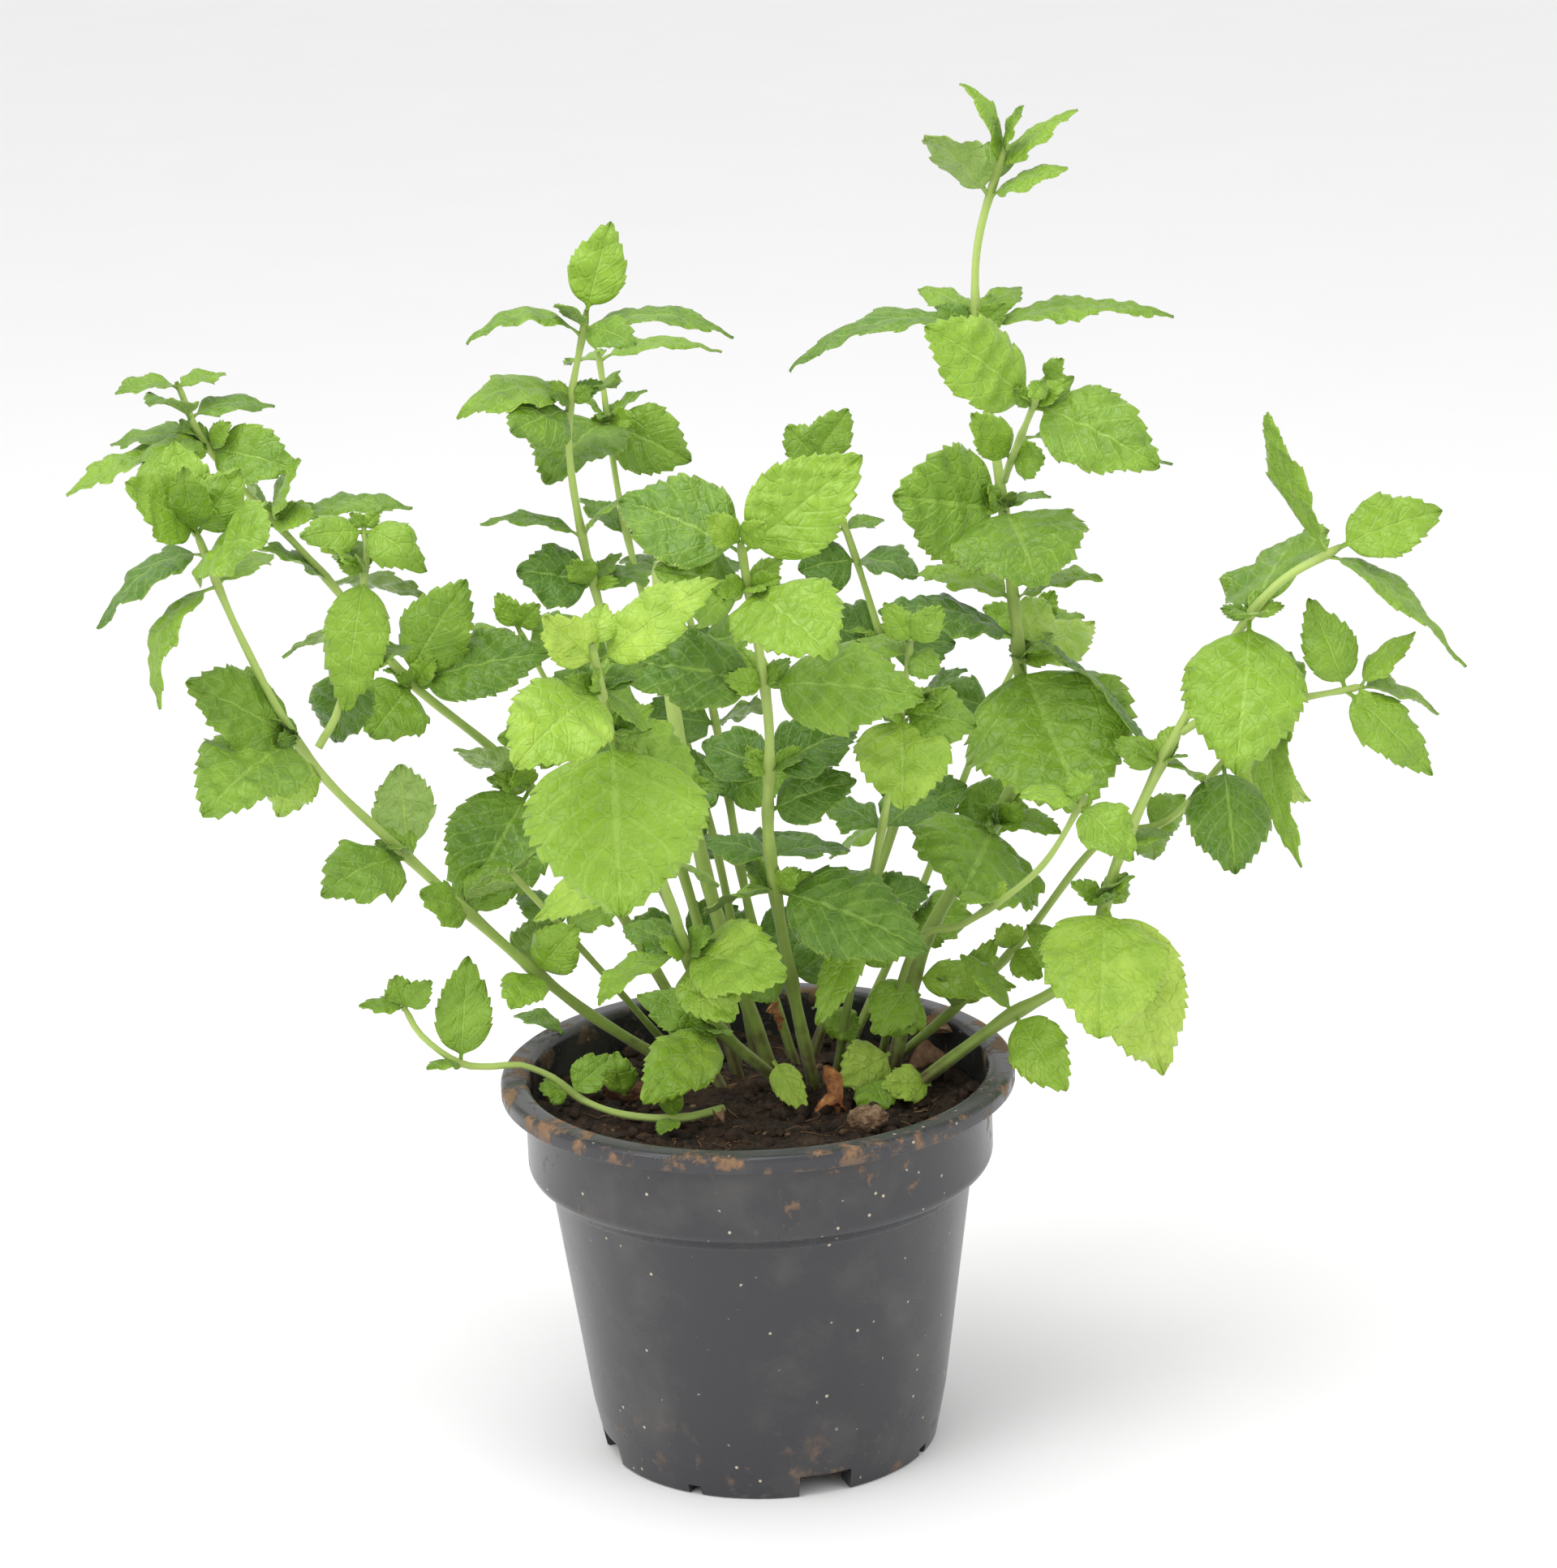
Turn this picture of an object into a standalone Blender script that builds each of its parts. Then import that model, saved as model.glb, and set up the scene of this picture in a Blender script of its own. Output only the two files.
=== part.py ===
"""A potted mint plant: a round nursery pot, its soil, the leafy stems and two bits of bark.

Lengths are in millimetres and become metres where a mesh or a place is made. The pot stands
on z = 0 around the origin; +X is the plant's right, -Y its front and +Z up.
"""
import math
from dataclasses import dataclass

import bmesh
import bpy
from mathutils import Vector

MM = 0.001

# Driving dimensions of a 13 cm pot.
RIM_RADIUS = 65.0
POT_HEIGHT = 100.0
WALL = 1.2
GAP = 0.3
ROUND_STEPS = 64

# The rim, collar, wall and foot of the pot.
LIP_HEIGHT = 4.5
COLLAR_RADIUS = 59.0
COLLAR_BOTTOM = POT_HEIGHT - 22.0
WALL_TOP = POT_HEIGHT - 29.0
WALL_TOP_RADIUS = 53.4
WALL_FOOT = 13.0
WALL_FOOT_RADIUS = 45.4
FOOT_RADIUS = 42.6
FOOT_RING_INSIDE = 36.0
CENTRE_PAD = 24.0
CHANNEL_HEIGHT = 3.0
FLOOR_TOP = CHANNEL_HEIGHT + 1.5

# Notches in the foot ring: four drain slots and four small vents, as angle from the front.
SLOT_WIDTH = 13.6
SLOT_HEIGHT = 6.0
SLOT_ANGLE = 18.0
VENT_WIDTH = 3.5
VENT_HEIGHT = 2.6
VENT_ANGLE = -27.0

# Soil, and how deep the stems stand in it.
SOIL_TOP = POT_HEIGHT - 11.5
STEM_DEPTH = 14.0

# Leaves: sheet thickness, leaf stalk width, and the blade's half width along its length.
LEAF_THICKNESS = 0.5
STALK_HALF_WIDTH = 1.1
BLADE_OUTLINE = ((0.13, 0.0), (0.20, 0.42), (0.36, 0.92), (0.56, 1.0), (0.80, 0.60), (1.0, 0.0))
TIP_HALF_WIDTH = 0.4
FOLD = 0.12

# Ways a leaf's upper side can face.
FRONT = Vector((0.0, -1.0, 0.25))
FRONT_UP = Vector((0.0, -0.75, 0.65))
UP = Vector((0.0, -0.15, 1.0))
BACK = Vector((0.0, 0.9, 0.4))
BACK_UP = Vector((0.0, 0.55, 0.8))
LEFT_UP = Vector((-0.75, -0.35, 0.6))

GREEN = (0.20, 0.42, 0.035)
DARK_GREEN = (0.09, 0.25, 0.015)
PALE_GREEN = (0.36, 0.56, 0.10)
STEM_GREEN = (0.42, 0.55, 0.16)


@dataclass(frozen=True)
class Leaf:
    """One leaf: where its tip is from the stem, how wide it is and how it faces."""

    reach: tuple
    width: float
    faces: Vector
    bow: float = 0.12


@dataclass(frozen=True)
class Pair:
    """Two leaves that leave the stem together, at a share of the stem's length."""

    at: float
    first: Leaf
    second: Leaf
    colour: tuple = GREEN


@dataclass(frozen=True)
class Stem:
    """A stem: its root on the soil or on another stem, its route and its two end radii."""

    root: tuple
    route: tuple
    base_radius: float
    tip_radius: float
    pairs: tuple = ()
    parent: str = ""
    colour: tuple = STEM_GREEN


STEMS = {
    "far_left": Stem(
        (-18, 25), ((-48, 12, 116), (-87, -9, 164), (-106, -21, 191), (-119, -34, 225), (-127, -45, 255)),
        2.2, 1.1,
        (Pair(0.51, Leaf((-2, 16, 20), 16, BACK), Leaf((-20, -22, -2), 17, FRONT_UP, 0.25)),
         Pair(0.71, Leaf((-23, -11, 17), 18, FRONT_UP, 0.15), Leaf((-19, -33, -9), 23, FRONT_UP, 0.22)),
         Pair(0.97, Leaf((18, -30, 10), 22, FRONT_UP), Leaf((-23, -4, -15), 16, UP, 0.25)))),
    "upper_left": Stem(
        (-11, 22), ((-33, 26, 132), (-58, 27, 171), (-85, 28, 197), (-104, 29, 224), (-130, 30, 256),
                    (-138, 30, 275)),
        2.2, 0.9,
        (Pair(0.42, Leaf((-18, -14, 15), 14, BACK_UP), Leaf((-19, -20, -22), 25, FRONT), DARK_GREEN),
         Pair(0.59, Leaf((-10, -20, -5), 19, FRONT), Leaf((36, -6, 9), 18, FRONT_UP)),
         Pair(0.81, Leaf((34, -6, 5), 13, UP, 0.2), Leaf((-10, 20, 5), 12, BACK)),
         Pair(0.92, Leaf((-35, -10, -7), 15, UP), Leaf((22, -8, -3), 16, FRONT_UP)))),
    "left_branch": Stem(
        (0.66, (-100, -16, 200)), ((-97, -14, 208), (-91, -6, 234), (-91, -2, 244)), 1.3, 0.9,
        (Pair(0.80, Leaf((-6, -12, -32), 15, FRONT), Leaf((-8, 8, 2), 9, BACK_UP)),),
        parent="far_left"),
    "low_left": Stem((-20, 36), ((-40, 15, 123), (-60, -5, 156)), 1.5, 1.0),
    "front_left": Stem(
        (4, 20), ((-11, 3, 112), (-20, -24, 153), (-29, -52, 194), (-34, -78, 233)), 2.3, 1.1,
        (Pair(0.19, Leaf((-20, -26, -9), 16, FRONT_UP, 0.18), Leaf((-21, 4, 9), 12, FRONT_UP), PALE_GREEN),
         Pair(0.37, Leaf((25, -22, 0), 19, FRONT_UP), Leaf((-22, -12, -9), 12, LEFT_UP, 0.25), PALE_GREEN),
         Pair(0.83, Leaf((1, -30, -34), 38, FRONT), Leaf((21, 14, -27), 20, FRONT_UP, 0.2)),
         Pair(0.91, Leaf((-20, -28, -7), 22, FRONT_UP, 0.15), Leaf((11, 20, -14), 13, FRONT_UP)),
         Pair(0.96, Leaf((-11, -3, 14), 10, FRONT), Leaf((29, -6, 21), 14, FRONT_UP)))),
    "tall_left": Stem(
        (-6, 29), ((-16, 26, 138), (-33, 24, 204), (-41, 23, 255), (-35, 22, 291)), 2.1, 1.0,
        (Pair(0.67, Leaf((-18, -6, 6), 15, FRONT_UP), Leaf((16, 14, 0), 13, UP), DARK_GREEN),
         Pair(0.89, Leaf((-28, -4, -2), 17, UP, 0.3), Leaf((11, 16, 0), 15, BACK_UP)),
         Pair(0.97, Leaf((-28, -8, 3), 11, UP, 0.3), Leaf((37, 4, -2), 11, UP, 0.2)))),
    "thin_left": Stem(
        (-1, 37), ((-9, 41, 146), (-28, 54, 223), (-34, 62, 272)), 1.7, 0.9,
        (Pair(0.91, Leaf((-15, -34, -8), 21, FRONT_UP, 0.2), Leaf((21, -6, -10), 18, FRONT, 0.2)),)),
    "cut_stem": Stem((3, 29), ((-11, 24, 141), (-19, 18, 200), (-20, 16, 228)), 2.6, 2.3),
    "front_centre": Stem(
        (14, 16), ((9, 3, 123), (5, -13, 163), (6, -29, 200), (1, -50, 249)), 2.4, 1.2,
        (Pair(0.40, Leaf((35, -18, -11), 22, FRONT_UP), Leaf((-18, 22, -13), 12, UP)),
         Pair(0.61, Leaf((-16, 10, 5), 14, FRONT_UP), Leaf((22, 8, 8), 16, FRONT_UP, 0.2), DARK_GREEN),
         Pair(0.76, Leaf((-36, -6, 9), 20, FRONT_UP), Leaf((38, -14, 0), 22, FRONT_UP)),
         Pair(0.92, Leaf((18, -34, -8), 24, FRONT_UP), Leaf((-21, -6, 7), 21, FRONT_UP)),
         Pair(0.98, Leaf((29, 6, 21), 20, FRONT, 0.06), Leaf((-29, 14, 11), 22, FRONT_UP)))),
    "tall_right": Stem(
        (34, 17), ((44, 20, 125), (64, 22, 158), (70, 23, 179), (67, 27, 232), (61, 30, 292), (69, 32, 326)),
        2.6, 1.1,
        (Pair(0.32, Leaf((-11, -34, -7), 33, FRONT), Leaf((16, -10, 0), 10, UP)),
         Pair(0.49, Leaf((12, -42, -27), 39, FRONT), Leaf((21, 30, 1), 15, FRONT_UP)),
         Pair(0.64, Leaf((-28, -14, 8), 27, FRONT), Leaf((6, -42, -9), 30, FRONT_UP)),
         Pair(0.82, Leaf((-46, -6, -6), 13, UP, 0.2), Leaf((49, 4, 1), 13, UP)),
         Pair(0.95, Leaf((-16, -8, 17), 14, BACK_UP), Leaf((19, -8, 8), 13, UP)),
         Pair(0.975, Leaf((-10, 1, 21), 8, FRONT), Leaf((20, 4, 14), 9, LEFT_UP)))),
    "right_side_shoot": Stem(
        (0.68, (70, 8, 250)), ((69, 12, 252), (73, -17, 273), (75, -22, 279)), 1.2, 0.9,
        (Pair(0.80, Leaf((-26, -10, 23), 19, FRONT_UP), Leaf((28, -14, -13), 20, FRONT_UP)),),
        parent="tall_right"),
    "far_right": Stem(
        (38, 7), ((62, 1, 109), (82, -3, 124), (92, -8, 155), (107, -15, 190), (127, -21, 223),
                  (145, -25, 236)), 2.2, 1.2,
        (Pair(0.44, Leaf((-4, -30, -23), 29, FRONT), Leaf((11, 4, -53), 22, FRONT, 0.2), PALE_GREEN),
         Pair(0.64, Leaf((-28, 30, 27), 13, UP), Leaf((12, 8, -9), 12, UP), DARK_GREEN),
         Pair(0.86, Leaf((-7, -24, -31), 27, FRONT), Leaf((22, 34, 9), 30, BACK_UP)),
         Pair(0.98, Leaf((-15, -4, 36), 10, LEFT_UP), Leaf((32, -8, -26), 12, UP, 0.2)))),
    "right_low": Stem(
        (34, 27), ((54, 20, 109), (69, 14, 127), (88, 8, 153), (105, 3, 160), (121, -2, 179)), 1.6, 1.0,
        (Pair(0.97, Leaf((1, -20, -22), 20, FRONT), Leaf((23, 12, -14), 11, FRONT_UP, 0.2)),)),
    "right_branch": Stem(
        (0.62, (112, -20, 190)), ((118, -19, 194), (145, -22, 199), (150, -22, 200)), 1.3, 0.9,
        (Pair(0.56, Leaf((2, -8, -39), 13, LEFT_UP, 0.3), Leaf((-3, 16, 9), 11, UP)),
         Pair(0.92, Leaf((-8, 8, 21), 12, FRONT, 0.25), Leaf((21, -8, -20), 13, FRONT_UP))),
        parent="far_right"),
    "back_centre": Stem(
        (15, 42), ((27, 46, 119), (39, 49, 153), (40, 51, 176), (29, 55, 220), (20, 58, 244)), 1.9, 0.9,
        (Pair(0.70, Leaf((19, 4, -2), 17, FRONT_UP), Leaf((-18, 6, 4), 17, FRONT_UP), DARK_GREEN),)),
    "inner_right": Stem(
        (20, 21), ((27, 7, 131), (36, -14, 180), (41, -30, 218)), 1.6, 0.9,
        (Pair(0.85, Leaf((-1, -22, -17), 21, FRONT), Leaf((18, -4, -3), 17, FRONT_UP), PALE_GREEN),)),
}

# The runner lies on the soil and over the rim at the left.
RUNNER_LIFT = 2.1
RUNNER = Stem(
    (), ((-9, -5, SOIL_TOP + RUNNER_LIFT), (-20, -11, SOIL_TOP + RUNNER_LIFT),
         (-34, -7, SOIL_TOP + RUNNER_LIFT), (-45, 2, SOIL_TOP + RUNNER_LIFT + 1.2),
         (-52, 2, POT_HEIGHT - 2), (-60, 0, POT_HEIGHT + 2.4), (-67, -2, POT_HEIGHT + 3),
         (-75, -4, POT_HEIGHT + 5), (-84, -5, POT_HEIGHT + 13), (-88, -5, POT_HEIGHT + 21)),
    1.4, 1.0,
    (Pair(0.78, Leaf((3, 7, 26), 12, FRONT), Leaf((-7, -8, 2), 6, UP)),))


def remove_old_objects():
    """Empty the scene, so that the part is all it holds."""
    for old in list(bpy.data.objects):
        bpy.data.objects.remove(old, do_unlink=True)


def make_collection(name):
    """Make a collection linked to the scene."""
    collection = bpy.data.collections.new(name)
    bpy.context.scene.collection.children.link(collection)
    return collection


def give_material(obj, name, colour, roughness):
    """Give an object its own Principled material."""
    material = bpy.data.materials.new(name)
    material.use_nodes = True
    shader = material.node_tree.nodes["Principled BSDF"]
    shader.inputs["Base Color"].default_value = (*colour, 1.0)
    shader.inputs["Roughness"].default_value = roughness
    shader.inputs["Metallic"].default_value = 0.0
    material.diffuse_color = (*colour, 1.0)
    obj.data.materials.append(material)


def add_object(name, data, collection, place=(0, 0, 0), parent=None):
    """Make an object at a place given in millimetres from its parent."""
    obj = bpy.data.objects.new(name, data)
    obj.location = Vector(place) * MM
    obj.parent = parent
    collection.objects.link(obj)
    return obj


def shade(obj, angle=40.0):
    """Smooth an object's faces, keeping edges sharper than the angle."""
    obj.data.shade_smooth()
    obj.data.set_sharp_from_angle(angle=math.radians(angle))


def arc(centre_r, centre_z, radius, start, end, steps):
    """List (radius, height) points along an arc, with its angles in degrees."""
    points = []
    for i in range(steps + 1):
        angle = math.radians(start + (end - start) * i / steps)
        points.append((centre_r + radius * math.cos(angle), centre_z + radius * math.sin(angle)))
    return points


def turned(name, profile, collection):
    """Turn a profile of (radius, height) points about the Z axis."""
    mesh = bpy.data.meshes.new(name)
    edges = [(i, i + 1) for i in range(len(profile) - 1)]
    mesh.from_pydata([(r * MM, 0.0, z * MM) for r, z in profile], edges, [])
    obj = add_object(name, mesh, collection)
    screw = obj.modifiers.new("turn", "SCREW")
    screw.steps = ROUND_STEPS
    screw.render_steps = ROUND_STEPS
    screw.use_merge_vertices = True
    screw.merge_threshold = 0.00001
    return obj


def wall_inside(height):
    """Inside radius of the pot's wall at a height below the shoulder."""
    if height < WALL_FOOT:
        slope = (WALL_FOOT_RADIUS - FOOT_RADIUS) / WALL_FOOT
        return FOOT_RADIUS + slope * height - WALL
    slope = (WALL_TOP_RADIUS - WALL_FOOT_RADIUS) / (WALL_TOP - WALL_FOOT)
    return WALL_FOOT_RADIUS + slope * (height - WALL_FOOT) - WALL


def pot_profile():
    """The pot's section, from the middle of its floor up the inside and down the outside."""
    lip_bottom = POT_HEIGHT - LIP_HEIGHT
    inside = COLLAR_RADIUS - WALL
    points = [(0.0, FLOOR_TOP), (wall_inside(FLOOR_TOP), FLOOR_TOP)]
    points += [(wall_inside(WALL_FOOT), WALL_FOOT), (wall_inside(WALL_TOP), WALL_TOP + 0.6)]
    points += [(inside - 1.2, COLLAR_BOTTOM - 1.0), (inside, COLLAR_BOTTOM + 1.0)]
    points += arc(inside + 2.4, POT_HEIGHT - 2.4, 2.4, 180.0, 90.0, 3)
    points += arc(RIM_RADIUS - 1.6, POT_HEIGHT - 1.6, 1.6, 90.0, 0.0, 3)
    points += [(RIM_RADIUS, lip_bottom + 0.3), (RIM_RADIUS - 0.4, lip_bottom)]
    points += [(RIM_RADIUS - WALL, lip_bottom), (RIM_RADIUS - WALL, POT_HEIGHT - 1.7)]
    points += [(COLLAR_RADIUS + 0.6, POT_HEIGHT - 1.7), (COLLAR_RADIUS, POT_HEIGHT - 3.0)]
    points += arc(COLLAR_RADIUS - 4.0, COLLAR_BOTTOM, 4.0, 0.0, -60.0, 3)
    points += [(WALL_TOP_RADIUS, WALL_TOP), (WALL_FOOT_RADIUS, WALL_FOOT), (FOOT_RADIUS, 0.0)]
    points += [(FOOT_RING_INSIDE, 0.0), (FOOT_RING_INSIDE - 0.5, CHANNEL_HEIGHT)]
    points += [(CENTRE_PAD + 0.5, CHANNEL_HEIGHT), (CENTRE_PAD, 0.0), (0.0, 0.0)]
    return points


def notch_cutter(name, width, height, first_angle, cutters):
    """Four boxes around the foot, each a notch of one width and height."""
    mesh = bpy.data.meshes.new(name)
    shape = bmesh.new()
    length = FOOT_RADIUS - FOOT_RING_INSIDE + 8.0
    below = 2.0
    for quarter in range(4):
        angle = math.radians(first_angle - 90.0 + 90.0 * quarter)
        box = bmesh.ops.create_cube(shape, size=MM)["verts"]
        bmesh.ops.scale(shape, vec=(length, width, height + below), verts=box)
        middle = Vector((FOOT_RING_INSIDE - 1.0 + length / 2, 0.0, (height - below) / 2)) * MM
        bmesh.ops.translate(shape, vec=middle, verts=box)
        for vertex in box:
            x, y = vertex.co.x, vertex.co.y
            vertex.co.x = x * math.cos(angle) - y * math.sin(angle)
            vertex.co.y = x * math.sin(angle) + y * math.cos(angle)
    shape.to_mesh(mesh)
    shape.free()
    return hide_cutter(add_object(name, mesh, cutters))


def hide_cutter(obj):
    """Show a cutter as wires and keep it out of renders."""
    obj.hide_render = True
    obj.display_type = "WIRE"
    return obj


def cut(obj, cutter):
    """Take a cutter's shape away from an object."""
    boolean = obj.modifiers.new(cutter.name, "BOOLEAN")
    boolean.operation = "DIFFERENCE"
    boolean.solver = "EXACT"
    boolean.object = cutter


def make_pot(collection, cutters):
    """The pot: a turned shell with notches around its foot."""
    pot = turned("pot", pot_profile(), collection)
    cut(pot, notch_cutter("drain_slots", SLOT_WIDTH, SLOT_HEIGHT, SLOT_ANGLE, cutters))
    cut(pot, notch_cutter("foot_vents", VENT_WIDTH, VENT_HEIGHT, VENT_ANGLE, cutters))
    give_material(pot, "pot_plastic", (0.055, 0.055, 0.06), 0.42)
    shade(pot)


def buried_line(stem):
    """A rooted stem's point on the soil and the direction in which it leaves it."""
    surface = Vector((*stem.root, SOIL_TOP))
    return surface, (Vector(stem.route[0]) - surface).normalized()


def stem_holes(cutters):
    """One straight hole for each rooted stem, a gap wider than the stem."""
    mesh = bpy.data.meshes.new("stem_holes")
    shape = bmesh.new()
    for stem in STEMS.values():
        if stem.parent:
            continue
        surface, lean = buried_line(stem)
        above = 8.0
        depth = STEM_DEPTH + GAP + above
        turn = Vector((0, 0, 1)).rotation_difference(lean).to_matrix().to_4x4()
        middle = surface + lean * (above - depth / 2)
        turn.translation = middle * MM
        radius = (stem.base_radius + GAP) * MM
        bmesh.ops.create_cone(shape, cap_ends=True, segments=12, radius1=radius, radius2=radius,
                              depth=depth * MM, matrix=turn)
    shape.to_mesh(mesh)
    shape.free()
    return hide_cutter(add_object("stem_holes", mesh, cutters))


def make_soil(collection, cutters):
    """The soil: a turned plug inside the pot, with a hole for each stem."""
    foot = FLOOR_TOP + GAP
    inside = COLLAR_RADIUS - WALL - GAP
    profile = [(0.0, SOIL_TOP), (inside, SOIL_TOP), (inside, COLLAR_BOTTOM + 1.5)]
    profile += [(wall_inside(WALL_TOP) - GAP, WALL_TOP + 1.2), (wall_inside(WALL_FOOT) - GAP, WALL_FOOT)]
    profile += [(wall_inside(foot) - GAP, foot), (0.0, foot)]
    soil = turned("soil", profile, collection)
    cut(soil, stem_holes(cutters))
    give_material(soil, "soil_peat", (0.045, 0.025, 0.014), 0.95)
    shade(soil)


def smooth_route(points, spacing=11.0):
    """Points along a smooth curve through the route, about one spacing apart."""
    ends = [points[0] * 2 - points[1], *points, points[-1] * 2 - points[-2]]
    out = []
    for before, start, end, after in zip(ends, ends[1:], ends[2:], ends[3:]):
        steps = max(1, round((end - start).length / spacing))
        for i in range(steps):
            t = i / steps
            pull = 2 * before - 5 * start + 4 * end - after
            twist = 3 * start - before - 3 * end + after
            out.append((2 * start + (end - before) * t + pull * t * t + twist * t ** 3) / 2)
    out.append(points[-1])
    return out


def route_point(points, share):
    """The place and direction at a share of a route's length."""
    lengths = [(b - a).length for a, b in zip(points, points[1:])]
    left = share * sum(lengths)
    for start, end, length in zip(points, points[1:], lengths):
        if left <= length:
            break
        left -= length
    way = (end - start).normalized()
    return start + way * left, way


def stem_points(stem):
    """A stem's centre line, with its buried end for a rooted stem."""
    route = [Vector(point) for point in stem.route]
    if stem.parent:
        share, towards = stem.root
        parent = STEMS[stem.parent]
        node, way = route_point(stem_points(parent), share)
        side = Vector(towards) - node
        side = (side - way * side.dot(way)).normalized()
        clear = radius_at(parent, share) + stem.base_radius + GAP
        return smooth_route([node + side * clear, *route])
    if not stem.root:
        return smooth_route(route)
    surface, lean = buried_line(stem)
    return [surface - lean * STEM_DEPTH, *smooth_route([surface, surface + lean * 4, *route])]


def radius_at(stem, share):
    """A stem's radius at a share of its length."""
    return stem.base_radius + (stem.tip_radius - stem.base_radius) * share


def make_stem(name, stem, collection):
    """A stem: a tapered tube along its centre line."""
    points = stem_points(stem)
    origin = points[0]
    curve = bpy.data.curves.new(name, "CURVE")
    curve.dimensions = "3D"
    curve.bevel_depth = MM
    curve.bevel_resolution = 2
    curve.use_fill_caps = True
    curve.resolution_u = 1
    spline = curve.splines.new("POLY")
    spline.points.add(len(points) - 1)
    for i, point in enumerate(points):
        spline.points[i].co = (*((point - origin) * MM), 1.0)
        spline.points[i].radius = radius_at(stem, i / (len(points) - 1))
    obj = add_object(name, curve, collection, origin)
    give_material(obj, f"{name}_skin", stem.colour, 0.55)
    return obj


def across_direction(way, faces, like):
    """The direction across a blade, on the same side as another direction."""
    across = way.cross(faces).normalized()
    return across if across.dot(like) >= 0 else -across


def blade_rows(leaf, start, side_way):
    """Rows (centre, across, half width) from the leaf's stalk to its tip."""
    tip = Vector(leaf.reach)
    length = tip.length
    faces = leaf.faces.normalized()
    middle = (start + tip) / 2 + faces * leaf.bow * length
    across = across_direction((tip - start).normalized(), faces, side_way)
    rows = []
    for share, wide in BLADE_OUTLINE:
        centre = start * (1 - share) ** 2 + middle * 2 * share * (1 - share) + tip * share ** 2
        edge = TIP_HALF_WIDTH if share == 1.0 else STALK_HALF_WIDTH
        half = max(edge, wide * leaf.width / 2)
        turned_in = side_way.lerp(across, 0.75) if share == BLADE_OUTLINE[0][0] else across
        rows.append((centre, turned_in.normalized(), half))
    return rows


def pair_rows(pair, way, stem_radius):
    """Rows of the whole ribbon: one leaf in from its tip, past the stem, the other out."""
    first = Vector(pair.first.reach).normalized()
    second = Vector(pair.second.reach).normalized()
    flat_first = (first - way * first.dot(way)).normalized()
    flat_second = (second - way * second.dot(way)).normalized()
    side = flat_first + flat_second
    if side.length < 0.6:
        side = way.cross(flat_first - flat_second)
        side *= 1 if side.dot(pair.first.faces) >= 0 else -1
    start = side.normalized() * (stem_radius + GAP + LEAF_THICKNESS / 2)
    inward = list(reversed(blade_rows(pair.first, start, way)))
    outward = blade_rows(pair.second, start, way)
    return [*inward, (start, way, STALK_HALF_WIDTH), *outward]


def ribbon_mesh(name, rows):
    """A sheet through the rows, folded a little along its middle."""
    shape = bmesh.new()
    lines = []
    for i, (centre, across, half) in enumerate(rows):
        before = rows[max(i - 1, 0)][0]
        after = rows[min(i + 1, len(rows) - 1)][0]
        up = across.cross(after - before).normalized()
        crease = centre - up * FOLD * (half - TIP_HALF_WIDTH)
        lines.append([shape.verts.new(p * MM) for p in (centre - across * half, crease,
                                                        centre + across * half)])
    for row, following in zip(lines, lines[1:]):
        for i in range(len(row) - 1):
            shape.faces.new((row[i], row[i + 1], following[i + 1], following[i]))
    mesh = bpy.data.meshes.new(name)
    shape.to_mesh(mesh)
    shape.free()
    return mesh


def make_pair(name, pair, stem, stem_object, collection):
    """Two leaves as one thin sheet that passes beside the stem."""
    points = stem_points(stem)
    node, way = route_point(points, pair.at)
    rows = pair_rows(pair, way, radius_at(stem, pair.at))
    obj = add_object(name, ribbon_mesh(name, rows), collection, node - points[0], stem_object)
    solid = obj.modifiers.new("thickness", "SOLIDIFY")
    solid.thickness = LEAF_THICKNESS * MM
    solid.offset = 0.0
    give_material(obj, f"{name}_blade", pair.colour, 0.5)
    shade(obj, 60.0)


def make_bark(name, place, size, turn, colour, collection):
    """A worn bit of bark with a flat underside, lying on the soil."""
    mesh = bpy.data.meshes.new(name)
    shape = bmesh.new()
    bmesh.ops.create_icosphere(shape, subdivisions=2, radius=1.0)
    for vertex in shape.verts:
        knobbly = 1.0 + 0.10 * math.sin(5.0 * vertex.co.x + 2.0) * math.cos(4.0 * vertex.co.y)
        flat = max(vertex.co.z, -0.45)
        vertex.co = Vector((vertex.co.x * size[0] / 2 * knobbly, vertex.co.y * size[1] / 2 * knobbly,
                            (flat + 0.45) / 1.45 * size[2])) * MM
    bmesh.ops.remove_doubles(shape, verts=shape.verts, dist=0.00001)
    shape.to_mesh(mesh)
    shape.free()
    obj = add_object(name, mesh, collection, (*place, SOIL_TOP + GAP))
    obj.rotation_euler.z = math.radians(turn)
    give_material(obj, f"{name}_wood", colour, 0.9)
    shade(obj)


def make_plant(collection):
    """Every stem with its leaf pairs, and the runner on the soil."""
    for name, stem in [*STEMS.items(), ("runner", RUNNER)]:
        stem_object = make_stem(f"stem_{name}", stem, collection)
        for i, pair in enumerate(stem.pairs, 1):
            make_pair(f"leaves_{name}_{i}", pair, stem, stem_object, collection)


def main():
    """Build the part."""
    remove_old_objects()
    collection = make_collection("potted_mint_plant")
    cutters = make_collection("cutters")
    make_pot(collection, cutters)
    make_soil(collection, cutters)
    make_plant(collection)
    make_bark("bark_tan", (27, -20), (11.0, 8.0, 7.0), 20.0, (0.30, 0.19, 0.10), collection)
    make_bark("bark_brown", (-33, 8), (15.0, 7.0, 5.0), 12.0, (0.12, 0.05, 0.025), collection)


main()
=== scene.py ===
"""Visual model of a potted mint plant: wrinkled toothed leaves, stems, peat and a pot.

Lengths are in millimetres and become metres where meshes and places are made.
"""

import logging
import math
import random
from dataclasses import dataclass, field
from enum import Enum

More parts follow.
